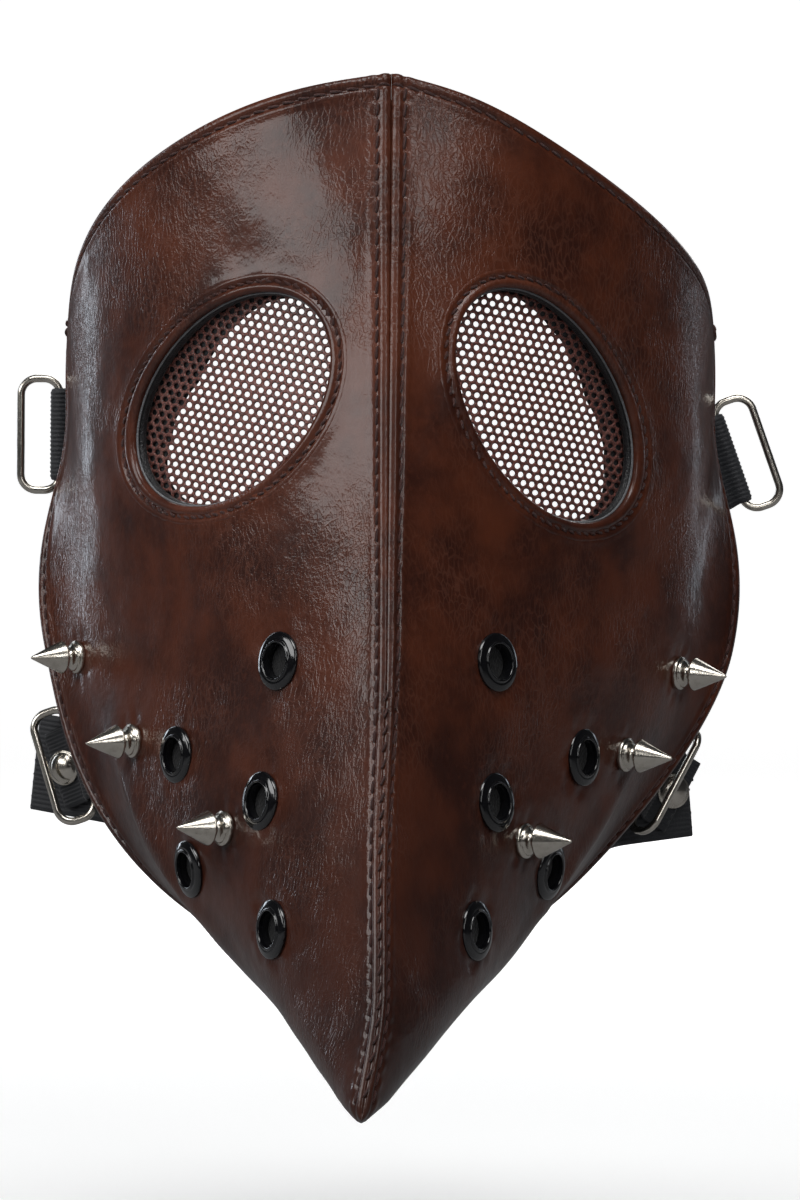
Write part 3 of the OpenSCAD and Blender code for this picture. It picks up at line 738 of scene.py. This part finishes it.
def hem(side):
    """Leather turned over the edge of panel and lining and stitched down."""
    u, v, du, dv = hem_path(side)
    lines = [on_leather(side, u + d * du, v + d * dv, lift) for d, lift in HEM_OUTSIDE]
    start_u, start_v = u + HEM_START * du, v + HEM_START * dv
    start, normal = straight(side, start_u, start_v), outward(side, u, v)
    away = unit(straight(side, u, v) - start)
    rim = relief(side, start_u, start_v) + 0.03
    half = (STACK_T + 0.12 + rim) / 2
    for angle in np.radians(np.arange(15, 180, 15)):
        height = rim - half * (1 - math.cos(angle))
        lines.append(settle(side, start + HEM_REACH * math.sin(angle) * away + height[:, None] * normal))
    lines += [skin(side, u + d * du, v + d * dv, 0 * u - STACK_T - depth) for d, depth in HEM_INSIDE]
    name = SIDES[side]
    return place_piece(sweep_lines(f"{name}_hem", lines, LEATHER), "leather", f"{name}_edge_binding")


def eye_ring(side, name, section, material, steps=220):
    """Ring round an eye opening. section holds (gap, height) pairs: a gap may depend
    on the angle, and a height in a tuple is one over the relief."""
    angle = circle(steps)
    lines = []
    for gap, height in section:
        u, v = locate(side, *eye_outline(side, angle, gap(angle) if callable(gap) else gap))
        over = isinstance(height, tuple)
        lines.append(on_leather(side, u, v, height[0]) if over else skin(side, u, v, height))
    return sweep_lines(f"{SIDES[side]}_{name}", lines, material, loop=True)


def eye_welt(side):
    made = eye_ring(side, "eye_welt", WELT_LEAF + WELT_ROLL, LEATHER)
    return place_piece(made, "leather", f"{SIDES[side]}_eye_binding")


def eye_facings(side):
    """Edge of the lining inside the opening, its pale cut edge, and the dark cloth behind the net's rim,
    whose wide upper lip is painted shade seen through the net.
    """
    cut = arc(CUT_AT, CUT_R, 0, 315, 8)

    def shade_lip(shift):
        def gap(angle):
            uneven = 0.35 * np.sin(7 * angle + 1) + 0.2 * np.sin(17 * angle)
            reach = np.maximum(0, np.cos(angle - SHADE_LIP_MIDDLE)) ** 1.5
            return (uneven - pick(side, SHADE_LIP_REACH)) * reach - 0.6 + shift
        return gap

    # The cloth's lip reaches far into the upper outer side of the opening: a dark sheet as painted shade
    # behind the net.
    cloth = [(shade_lip(0.1), -4.95), (shade_lip(0.6), -4.85), (6.6, -4.72), (7.2, -4.85), (7.3, -5.1), (6.9, -5.3),
             (4.0, -5.45), (shade_lip(0.6), -5.35), (shade_lip(0.0), -5.15)]
    return [
        place_piece(eye_ring(side, "eye_facing", LINING_EDGE, FOAM_EDGE), "lining"),
        place_piece(eye_ring(side, "eye_cut_edge", cut, CUT_EDGE), "leather"),
        place_piece(eye_ring(side, "eye_tape_and_shade", cloth, TAPE), "seam_tape"),
    ]


# ---- Eye nets ----

NET_PITCH = 2.15
NET_TURN = [math.radians(14), math.radians(-9)]
NET_HOLE_R = 0.65
NET_HALF_T = 0.24
NET_EDGE = 3.6
NET_RINGS = [(1.0, 1.0), (0.5, 0.86), (0.0, 0.0)]  # share of the way from hole to cell edge, and rise
NET_WOBBLE, NET_SAG = 0.07, 0.12


def net_cells(side):
    """Centres of the hexagonal cells that lie inside the grown opening, as x outward and z."""
    every = np.arange(-int(40 / NET_PITCH), int(40 / NET_PITCH) + 1)
    i, j = np.meshgrid(every, every, indexing="ij")
    across = NET_PITCH * (i + 0.5 * (j % 2)).ravel()
    down = NET_PITCH * math.sqrt(3) / 2 * j.ravel()
    turn, centre = pick(side, NET_TURN), pick(side, EYE_CENTRE)
    x = centre[0] + across * math.cos(turn) - down * math.sin(turn)
    z = centre[1] + across * math.sin(turn) + down * math.cos(turn)
    inside = eye_gap(side, x, z) < NET_EDGE
    return x[inside], z[inside]


def eye_net(side):
    """Hexagonal net: each cell is a ring of rounded thread round a hole, joined to its neighbours."""
    x, z = net_cells(side)
    twelfths = np.radians(np.arange(0, 360, 30))
    angle = pick(side, NET_TURN) + twelfths
    reach = NET_PITCH / 2 / np.cos((twelfths + math.pi / 6) % (math.pi / 3) - math.pi / 6)
    radius = np.array([NET_HOLE_R + share * (reach - NET_HOLE_R) for share, _ in NET_RINGS])
    px = x[:, None, None] + radius * np.cos(angle)
    pz = z[:, None, None] + radius * np.sin(angle)
    rise = np.broadcast_to(NET_HALF_T * np.array(NET_RINGS)[:, 1:], px.shape)

    key = np.round(np.stack([px.ravel(), pz.ravel()], -1), 3)
    _, first, index = np.unique(key, axis=0, return_index=True, return_inverse=True)
    index = index.reshape(px.shape)
    flat = np.stack([px.ravel()[first], np.zeros(len(first)), pz.ravel()[first]], -1)
    flat_x, flat_z = (flat[:, k] + NET_WOBBLE * waves(flat, 5.0, seed) for k, seed in ((0, 21), (2, 22)))
    u, v = locate(side, flat_x, flat_z)
    middle = NET_SAG * waves(flat, 19, 23) - NET_DEPTH - NET_HALF_T
    top, bottom = (skin(side, u, v, middle + way * rise.ravel()[first]) for way in (1, -1))

    following = np.roll(index, -1, axis=2)
    quads = np.concatenate([
        np.stack([index[:, k], following[:, k], following[:, k + 1], index[:, k + 1]], -1).reshape(-1, 4)
        for k in range(len(NET_RINGS) - 1)
    ])
    count = len(first)
    hole_edge = np.zeros(count, bool)
    hole_edge[index[:, -1].ravel()] = True
    shared = np.arange(count) + np.where(hole_edge, 0, count)
    walls = boundary_walls(quads, count)
    walls = walls[~(hole_edge[walls[:, 0]] & hole_edge[walls[:, 1]])]
    used, every = np.unique(np.concatenate([quads, shared[quads[:, ::-1]], walls]), return_inverse=True)
    name = SIDES[side]
    points = np.concatenate([top, bottom])[used]
    made = make_solid(f"{name}_eye_net", points, every.reshape(-1, 4), NET_THREAD)
    return place_piece(made, "eye_net", f"{name}_eye_mesh")


# ---- Lining and seam tapes ----

LINING_CUT_BACK = 1.6
LINING_WAVE, WASHER_BULGE = 0.12, 0.75
TAPE_GAP, TAPE_T = 0.35, 0.7
UNDER_SECTION = [(-3.2, 0.1), (-2.9, -0.05), (2.9, -0.05), (3.2, 0.1), (3.2, 0.6), (2.8, 0.75), (0, 0.85),
                 (-2.8, 0.75), (-3.2, 0.6)]
UNDER_LIFT = STACK_T + 1.9


def lining(side):
    """Foam-backed knit that follows the panel, with a soft bulge over each vent's washer."""
    u, v = arrays(np.linspace(0.02, LINING_END, 118)[:, None], np.linspace(0, LINES - 0.02, 74)[None, :])
    p = straight(side, u, v)
    hem_gap = np.minimum(distance(side, p, 0, v), distance(side, p, u, LINES))
    free = ease(eye_gap(side, p[..., 0], p[..., 2]) / 6) * ease((hem_gap - 7.5) / 5)
    depth = STACK_T - LINING_WAVE * waves(p, 22, 40 + side) * free
    for place in EYELETS:
        depth = depth + WASHER_BULGE * (1 - ease((distance(side, p, *place) - 4.6) / 3.2))
    outer = skin(side, u, v, 0 * u - LEATHER_T - LAYER_GAP)
    keep = outside_holes(side, p, LINING_CUT_BACK)
    name = SIDES[side]
    made = shell(f"{name}_lining_cloth", outer, skin(side, u, v, -depth), keep, LINING)
    return place_piece(made, "lining", f"{name}_lining")


def crotch(u, depth):
    """Where the two sides' offset surfaces meet in the middle plane."""
    p, n = straight(RIGHT, u, 0), outward(RIGHT, u, 0)
    spread = (n[:, 1] ** 2 + n[:, 2] ** 2)[:, None]
    back = p - depth / spread * n * [0, 1, 1]
    return settle(RIGHT, back * [0, 1, 1]) - [SEAM_GAP, 0, 0]


def ridge_tape():
    """Tape folded into the ridge on the inside."""
    u = np.linspace(0.2, 8.6, 150)
    half = 0.3 + 0.02 * u * u

    def across(extra):
        depth = STACK_T + TAPE_GAP + extra
        inner = depth + 0.2 * extra
        left, right = (
            [skin(side, u, half, -depth), skin(side, u, half * 0.55, -inner)] for side in (LEFT, RIGHT))
        return left + [crotch(u, inner)] + right[::-1]

    lines = across(0) + across(TAPE_T)[::-1]
    return place_piece(sweep_lines("ridge_tape", lines, TAPE), "seam_tape", "ridge_seam_tape")


def under_tape():
    """Flat tape over the seam under the beak."""
    base = skin(RIGHT, np.linspace(THROAT + 0.1, 8.8, 40), LINES, 0)
    lines = [base + [x, 0, UNDER_LIFT + z] for x, z in UNDER_SECTION]
    return place_piece(sweep_lines("under_tape", lines, TAPE), "seam_tape", "under_seam_tape")


# ---- Stitches ----

THREAD_R = 0.4
STITCH_RISE, STITCH_DIP = 0.2, 0.34  # how far a stitch arches, and how far its ends dip into their holes
SEAM_STITCH, HEM_STITCH = 3.3, 2.6  # distances of the rows from the ridge and from a hem


def stitches(name, line, normal, pitch=STITCH_PITCH, fill=0.94, slant=0.12, radius=THREAD_R):
    """Separate stitches along a row of points: each is a short arched thread."""
    t = np.linspace(-0.5, 0.5, 7)
    around = circle(8)
    taper = radius * np.sqrt(np.maximum(1 - (2 * np.abs(t)) ** 4, 0.02))[:, None]
    run = run_along(line)
    count = max(1, int(run[-1] / pitch))
    step = run[-1] / count
    where = (np.arange(count)[:, None] + 0.5 + fill * t) * step

    def follow(values):
        return np.stack([np.interp(where, run, values[:, k]) for k in range(3)], -1)

    centre, up = follow(line), unit(follow(normal))
    out = unit(np.cross(unit(np.gradient(centre, axis=1)), up))
    rise = STITCH_RISE * (1 - (2 * t) ** 2) - STITCH_DIP * np.abs(2 * t) ** 5
    middle = centre + rise[:, None] * up + (slant * t * step)[:, None] * out
    ring_up, ring_out = (taper * way for way in (np.cos(around), np.sin(around)))
    points = middle[:, :, None] + ring_up[..., None] * up[:, :, None] + ring_out[..., None] * out[:, :, None]
    along, turn = np.meshgrid(t * fill * step, around / (2 * math.pi), indexing="ij")
    uv = np.broadcast_to(np.stack([along, turn], -1), (count, *along.shape, 2))
    size = along.size
    faces = [[start + k for k in face] for start in range(0, count * size, size)
             for face in sweep_faces(*along.shape)]
    return place_piece(make_solid(name, points.reshape(-1, 3), faces, THREAD, uv), "leather")


def true_normal(side, u, v):
    return outward(side, u, v) * [side, 1, 1]


def surface_row(side, u, v, lift=0.12):
    """A row of points on the finished leather, with its normals."""
    return on_leather(side, u, v, lift), true_normal(side, u, v)


def ridge_stitches(side):
    u = np.linspace(0.1, 9.55, 420)
    fine = np.linspace(0, 1.2, 60)
    v = [np.interp(SEAM_STITCH, distance(side, straight(side, station, fine), station, 0), fine)
         for station in u]
    return stitches(f"{SIDES[side]}_ridge_stitches", *surface_row(side, u, v))


def centre_stitches():
    """Stitches that show in the groove of the ridge seam over the beak."""
    points, normals = surface_row(RIGHT, np.linspace(4.6, 9.3, 260), 0, 0.42)
    points[:, 0] -= SEAM_GAP
    return stitches("centre_stitches", points, normals * [0, 1, 1], fill=0.7, slant=0.24, radius=0.34)


def hem_stitches(side):
    u, v, du, dv = hem_path(side)
    row = surface_row(side, u + HEM_STITCH * du, v + HEM_STITCH * dv)
    return stitches(f"{SIDES[side]}_hem_stitches", *row, slant=0.14)


def eye_stitches(side):
    u, v = locate(side, *eye_outline(side, np.linspace(0, 2 * math.pi, 260), HEM_STITCH))
    return stitches(f"{SIDES[side]}_eye_stitches", *surface_row(side, u, v), pitch=2.8, slant=0.25)


# ---- Vents, spikes, rivets ----

# Profiles of (radius, height) in mm. The spike's and the rivet's run from axis to axis
SPIKE_PROFILE = [
    (0, -0.3), (3.9, -0.3), (4.12, -0.18), (4.2, 0.0), (4.2, 0.75), (4.05, 0.95), (3.6, 1.1), (3.5, 1.2),
    (3.5, 1.5), (3.35, 1.75), (2.7, 2.2), (2.25, 2.6), (2.1, 3.0), (2.1, 3.5), (2.2, 3.9), (2.7, 4.1),
    (3.9, 4.18), (4.1, 4.3), (4.2, 4.5), (4.05, 4.8), (2.2, 8.8), (0.5, 12.5), (0.3, 12.85), (0.14, 12.98),
    (0, 13.02),
]
RIVET_PROFILE = [
    (0, 0.0), (4.3, 0.0), (4.5, 0.12), (4.55, 0.35), (4.45, 0.58), (4.2, 0.66), (3.95, 0.6), (3.8, 0.72),
    (3.4, 1.2), (2.6, 1.75), (1.6, 2.08), (0.7, 2.2), (0, 2.23),
]


def arc(centre, radius, start, stop, count):
    """Points of an arc, in degrees."""
    angle = np.radians(np.linspace(start, stop, count))
    return [(centre[0] + radius * math.cos(a), centre[1] + radius * math.sin(a)) for a in angle]


def vent_profile():
    """Domed flange, a fine bead round the hole and the barrel down to the washer."""
    flange = arc((6.35, 0.05), 0.65, -70, 75, 9)
    dome = [(6.0, 0.84), (5.6, 0.98), (5.2, 1.02), (4.95, 0.95)]
    bead = arc((4.55, 1.05), 0.32, 20, 190, 9)
    barrel = [(4.12, 0.6), (4.05, 0.0), (4.0, -1.0), (4.0, -2.2), (4.1, -2.35), (4.55, -2.35)]
    return flange + dome + bead + barrel + [(4.6, -2.2), (4.6, -0.3)]


def lathe(name, origin, axes, profile, material, steps=72):
    """Turned solid about the third axis, from a profile that runs from axis to axis or in a loop."""
    radius, height = np.array(profile, float).T[..., None, None]
    ring = np.stack([np.cos(circle(steps)), np.sin(circle(steps))], -1)
    points = origin + radius * ring @ axes[:2] + height * axes[2]
    if radius[0] > 0:
        return make_solid(name, points, sweep_faces(len(points), steps, loop=True), material)
    body = points[1:-1].reshape(-1, 3)
    first, last, end = len(body), len(body) + 1, len(body) - steps
    faces = grid_faces(len(points) - 2, steps, loop_columns=True).tolist()
    faces += [[first, (k + 1) % steps, k] for k in range(steps)]
    faces += [[last, end + k, end + (k + 1) % steps] for k in range(steps)]
    return make_solid(name, np.concatenate([body, points[0, :1], points[-1, :1]]), faces, material)


def seat_frame(side, place):
    """Origin and axes of a place on the panel: x, y and the outward normal."""
    normal = true_normal(side, *place)
    x_way = unit(np.cross([0.0, 0.0, 1.0], normal))
    return skin(side, *place, 0.0), np.array([x_way, np.cross(normal, x_way), normal])


def vents_and_spikes(side):
    name = SIDES[side]
    for index, place in enumerate(EYELETS, 1):
        made = lathe(f"{name}_vent_{index}", *seat_frame(side, place), vent_profile(), ENAMEL)
        place_piece(made, "enamel", f"{name}_eyelet_{index}")
    for index, place in enumerate(pick(side, SPIKES), 1):
        made = lathe(f"{name}_cone_{index}", *seat_frame(side, place), SPIKE_PROFILE, TURNED)
        place_piece(made, "nickel", f"{name}_spike_{index}")


# ---- Straps and rings ----

WIRE_R = 1.0
RING_W, RING_L, RING_CORNER = 10.2, 29.0, 4.2
BAR_HALF = RING_L / 2 - RING_CORNER
UPPER_BAR = [[85.8, 4.8, -5.5], [88, 4.8, -10.9]]
UPPER_TILT = [0, 19.5]
UPPER_LEG = [78.2, -8, 2]
RIVET = [[82, -9, -91.5], [72.3, -9, -96.5]]
STRAP_YAW, TAIL_ROLL, TAB_ROLL, TAIL_END = [30, 22], [7, 6], [20, 30], [10.5, 5.5]
LOWER_BAR = [-6.7, -2.8]
LOWER_STAND = [20, 80]
TAB_FACE, RIVET_BASE = -0.95, 1.85  # the tab's middle and the rivet head's foot, in front of the tail
WEBBING_W, WEBBING_T = 25.0, 1.6
WRAP_R = WIRE_R + 0.1 + WEBBING_T / 2  # radius at which webbing goes round a ring's bar
STRAP_T = WEBBING_T - 0.15
RIBS, RIB_RISE = 21, 0.11


def turned(points, axis, degrees):
    return np.asarray(points) @ np.array(Matrix.Rotation(math.radians(degrees), 3, axis)).T


def upper_place(side, points, tilt=None):
    tilt = -pick(side, UPPER_TILT) if tilt is None else tilt
    return (turned(points, "Y", tilt) + pick(side, UPPER_BAR)) * [side, 1, 1]


def rivet_place(side, points, roll):
    points = turned(turned(points, "Y", roll), "Z", pick(side, STRAP_YAW))
    return (points + pick(side, RIVET)) * [side, 1, 1]


def ring_line():
    """Centre line of a wire ring: its hinge bar lies on the z axis and it reaches out along +x."""
    near, far = RING_CORNER, RING_W - RING_CORNER
    corners = []
    centres = [(far, BAR_HALF), (near, BAR_HALF), (near, -BAR_HALF), (far, -BAR_HALF)]
    for quarter, centre in enumerate(centres):
        bend = arc(centre, RING_CORNER, 90 * quarter, 90 * quarter + 90, 16)
        corners += [(px, 0.0, pz) for px, pz in bend]
    line = []
    for a, b in zip(corners, corners[1:] + corners[:1]):
        count = max(1, int(math.dist(a, b) / 1.5))
        line += [np.array(a) + k / count * np.subtract(b, a) for k in range(count)]
    return np.array(line)


def wire_ring(side, which, place):
    """Closed loop of wire with a small weld bump."""
    line = ring_line()
    weld = hump(line[:, 2], -3.0, 0.9) * (line[:, 0] > RING_W - 0.01)
    radius = WIRE_R * (1 + 0.035 * weld)[:, None, None]
    way = unit(np.roll(line, -1, axis=0) - np.roll(line, 1, axis=0))
    up, angle = np.array([0.0, 1.0, 0.0]), circle(20)[:, None]
    rings = line[:, None] + radius * (np.cos(angle) * np.cross(way, up)[:, None] + np.sin(angle) * up)
    name = f"{SIDES[side]}_{which}_ring"
    made = sweep(f"{SIDES[side]}_{which}_wire_ring", place(rings), NICKEL, loop=True)
    return place_piece(made, "nickel", name, body=name)


def upper_ring(side):
    return wire_ring(side, "upper", lambda rings: upper_place(side, rings))


def lower_ring(side):
    def place(rings):
        standing = turned(rings, "Z", -pick(side, LOWER_STAND)) + [*LOWER_BAR, 0]
        return rivet_place(side, standing, pick(side, TAB_ROLL))

    return wire_ring(side, "lower", place)


def smooth_path(points, spacing=0.5):
    """Round line through given points in the plane, evenly spaced."""
    padded = with_phantoms(points, (1, 1), (0, 0))
    t = np.linspace(0, 1, 24, endpoint=False)[:, None]
    line = []
    for a, b, c, d in zip(padded, padded[1:], padded[2:], padded[3:]):
        bend, twist = 2 * a - 5 * b + 4 * c - d, 3 * b - a - 3 * c + d
        line.append(b + 0.5 * ((c - a) * t + bend * t**2 + twist * t**3))
    line = np.concatenate([*line, padded[-2:-1]])
    run = run_along(line)
    even = np.linspace(0, run[-1], max(8, int(run[-1] / spacing)))
    return np.stack([np.interp(even, run, line[:, k]) for k in range(2)], -1)


def strap(path, width):
    """Rings of points of ribbed webbing along a path in the x-y plane; width may vary along it."""
    way = unit(np.gradient(path, axis=0))
    normal = np.stack([-way[:, 1], way[:, 0]], -1)
    across = np.linspace(-0.5, 0.5, 4 * RIBS + 1)
    rib = RIB_RISE * np.cos(2 * math.pi * RIBS * (across + 0.5))
    half = (STRAP_T / 2 - RIB_RISE + rib) * np.sqrt(np.maximum(1 - (2 * np.abs(across)) ** 24, 0.0))
    z = np.broadcast_to(np.reshape(width, (-1, 1)), (len(path), 1)) * across
    faces = [path[:, None] + sign * half[:, None] * normal[:, None] for sign in (1, -1)]
    front, back = (np.concatenate([flat, z[..., None]], -1) for flat in faces)
    return np.concatenate([front, back[:, ::-1]], axis=1)


def upper_webbing(side):
    """One strip of webbing, sewn inside the temple, led out and folded round the ring's bar."""
    bar = pick(side, UPPER_BAR)
    root_x, root_y = UPPER_LEG[0] - WEBBING_T - 0.6 - bar[0], UPPER_LEG[1] - bar[1]
    half = WEBBING_T / 2
    elbow = UPPER_LEG[2] - bar[1]
    front = [(root_x, root_y), (root_x + 0.6, elbow - 3), (root_x + 2.2, -half - 0.3), (-5.5, -half)]
    back = [(-5.5, half), (root_x + 1.0, half + 0.2), (root_x - 1.2, elbow - 2), (root_x - 1.8, root_y)]
    loop = [(-2.6, -half - 0.35)] + arc((0, 0), WRAP_R, -105, 105, 9) + [(-2.6, half + 0.35)]
    path = smooth_path(front + loop + back)
    rings = strap(path, WEBBING_W - 1.2 * ease((path[:, 0] + 4.5) / 4))
    lean = ease((rings[..., 0] + 9) / 5)[..., None]
    rings = upper_place(side, rings, 0) * (1 - lean) + upper_place(side, rings) * lean
    name = SIDES[side]
    return place_piece(sweep(f"{name}_upper_strap", rings, WEBBING), "webbing", f"{name}_upper_webbing")


def lower_webbing(side):
    """Webbing tail that comes from behind the cheek, with a slightly frayed cut end."""
    end = pick(side, TAIL_END)
    points = [(end, 0.8), (end - 4, 0.8), (0, 0.8), (-8, 0.8), (-13, 0.6), (-17, -0.9), (-25.5, -8.6),
              (-31, -13.5)]
    rings = strap(smooth_path(points), WEBBING_W)
    rings[..., 0] += 0.25 * waves(rings, 1.3, 60) * ease((rings[..., 0] - end + 0.6) / 0.6)
    name = SIDES[side]
    made = sweep(f"{name}_lower_strap", rivet_place(side, rings, -pick(side, TAIL_ROLL)), WEBBING)
    return place_piece(made, "webbing", f"{name}_lower_webbing")


def lower_tab(side):
    """Short top layer of webbing that holds the ring's bar and is riveted to the tail."""
    bar_x, low = LOWER_BAR[0], TAB_FACE
    points = [(3.4, low), (1.0, low), (bar_x + 3.2, low - 0.5), *arc(LOWER_BAR, WRAP_R, -25, -155, 7),
              (bar_x - 3.2, low - 0.4), (-10.4, low)]
    path = smooth_path(points)
    rings = strap(path, 20.4 + 1.6 * ease((-path[:, 0] - 7) / 3))
    rings[..., 0] += 0.35 * waves(rings, 1.5, 61 + side) * ease((rings[..., 0] - 2.7) / 0.7)
    name = SIDES[side]
    made = sweep(f"{name}_strap_tab", rivet_place(side, rings, pick(side, TAB_ROLL)), WEBBING)
    return place_piece(made, "webbing", f"{name}_lower_tab")


def rivet(side):
    """Domed cap with a rolled rim."""
    roll = pick(side, TAB_ROLL)
    foot = -RIVET_BASE
    origin, *ends = rivet_place(side, [[0, foot, 0], [1, foot, 0], [0, foot, 1], [0, foot - 1, 0]], roll)
    name = SIDES[side]
    made = lathe(f"{name}_rivet_dome", origin, ends - origin, RIVET_PROFILE, TURNED, 64)
    return place_piece(made, "nickel", f"{name}_rivet_cap")


# ---- Build ----


def build_side(side):
    leather, cloth, net = panel(side), lining(side), eye_net(side)
    trim = [hem(side), eye_welt(side), ridge_stitches(side), hem_stitches(side), eye_stitches(side)]
    facing, cut_edge, net_tape_and_shade = eye_facings(side)
    vents_and_spikes(side)
    upper, lower = upper_ring(side), lower_ring(side)
    upper_webbing(side)
    tail, tab, dome = lower_webbing(side), lower_tab(side), rivet(side)


for side in SIDES:
    build_side(side)
centre_stitches()
ridge_tape()
under_tape()

CAD_MATERIALS = {"eyelet_washers": ENAMEL, "spike_screws": NICKEL, "rivet_post": NICKEL}
for node_name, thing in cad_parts.items():
    for ending, material in CAD_MATERIALS.items():
        if node_name.endswith(ending):
            for material_slot in thing.material_slots:
                material_slot.material = material


# ---- Studio ----

FLOOR_Z = -0.215
FLOOR_FLAT, FLOOR_CORNER, WALL_HEIGHT = 3.2, 1.2, 5.0
FLOOR_GLOW, WALL_GLOW = 0.3, 0.93  # light of the stage's own, for the camera only: near and far from the mask
GLOW_FROM, GLOW_TO = 0.2, 1.6
LIGHT_AIM = Vector((0, -0.06, -0.04))
WHITE, COOL = (1, 1, 1), (0.82, 0.9, 1.0)

# Soft boxes: place, size, power and colour
SOFTBOXES = {
    "key": ((-1.27, -0.64, 0.52), (1.25, 0.48), 8, WHITE),
    "front_top": ((-0.05, -0.95, 1.5), (1.6, 0.7), 21, WHITE),
    "front_fill": ((0.85, -1.25, 0.75), (0.35, 0.6), 2.5, WHITE),
    "front_low": ((0.25, -1.75, 0.45), (0.4, 0.5), 2.5, WHITE),
    "left_wall": ((-0.94, 0.93, 0.3), (0.13, 0.9), 1.5, COOL),
    "right_wall": ((0.9, 0.96, 0.3), (0.1, 0.9), 0.4, COOL),
    "inside_fill": ((0.3, 1.6, 0.9), (1.2, 1.2), 14, WHITE),
}


def make_camera():
    """Level camera in front of the mask, with the long lens that the view calls for."""
    data = bpy.data.cameras.new("camera")
    data.lens = 127.5
    data.sensor_width = 36
    data.clip_start, data.clip_end = 0.05, 50
    camera = link_object("camera", data)
    camera.location = (0.0028, -1.1, -0.048)
    camera.rotation_euler = (math.pi / 2, math.radians(-0.35), 0)
    bpy.context.scene.camera = camera


def make_softbox(name, location, size, power, colour):
    data = bpy.data.lights.new(name, "AREA")
    data.shape = "RECTANGLE"
    data.size, data.size_y = size
    data.energy = power
    data.color = colour
    light = link_object(name, data)
    light.location = location
    light.rotation_euler = (LIGHT_AIM - Vector(location)).to_track_quat("-Z", "Y").to_euler()
    light.visible_camera = False


def stage_material():
    made, where = new_material(
        "studio_floor", Roughness=0.9, Specular_IOR_Level=0.1, Emission_Color=(1, 1, 1, 1))
    seen = node("LightPath", {}, made.node_tree).outputs["Is Camera Ray"]
    pale = mix(noise(where, 3, 2.0), (0.80, 0.80, 0.80), (0.84, 0.84, 0.835))
    away = node("VectorMath", {0: where}, operation="LENGTH").outputs["Value"]
    glow = times(seen, ramp(away, GLOW_FROM, GLOW_TO, FLOOR_GLOW, WALL_GLOW))
    return finished(made, Base_Color=mix(seen, (0.24, 0.24, 0.245), pale), Emission_Strength=glow)


def make_stage():
    """Pale floor that curves up into a far wall all round."""
    bend = arc((FLOOR_FLAT, FLOOR_CORNER), FLOOR_CORNER, -90, 0, 10)
    profile = [(0.00001, 0), *bend, (FLOOR_FLAT + FLOOR_CORNER, WALL_HEIGHT)]
    radius, height = np.array(profile).T[..., None]
    angle = circle(96)
    points = [radius * np.cos(angle), radius * np.sin(angle), height + 0 * angle + FLOOR_Z]
    faces = grid_faces(len(profile), len(angle), loop_columns=True).tolist() + [list(range(len(angle)))]
    floor = make_object("floor", np.stack(points, -1) / MM, faces, stage_material())


def make_world():
    world = bpy.data.worlds.new("studio")
    world.use_nodes = True
    background = world.node_tree.nodes["Background"]
    background.inputs["Color"].default_value = (0.93, 0.96, 1.0, 1)
    background.inputs["Strength"].default_value = 0.06
    bpy.context.scene.world = world


make_camera()
make_stage()
make_world()
for name, settings in SOFTBOXES.items():
    make_softbox(name, *settings)
bpy.context.scene.view_settings.view_transform = "Standard"
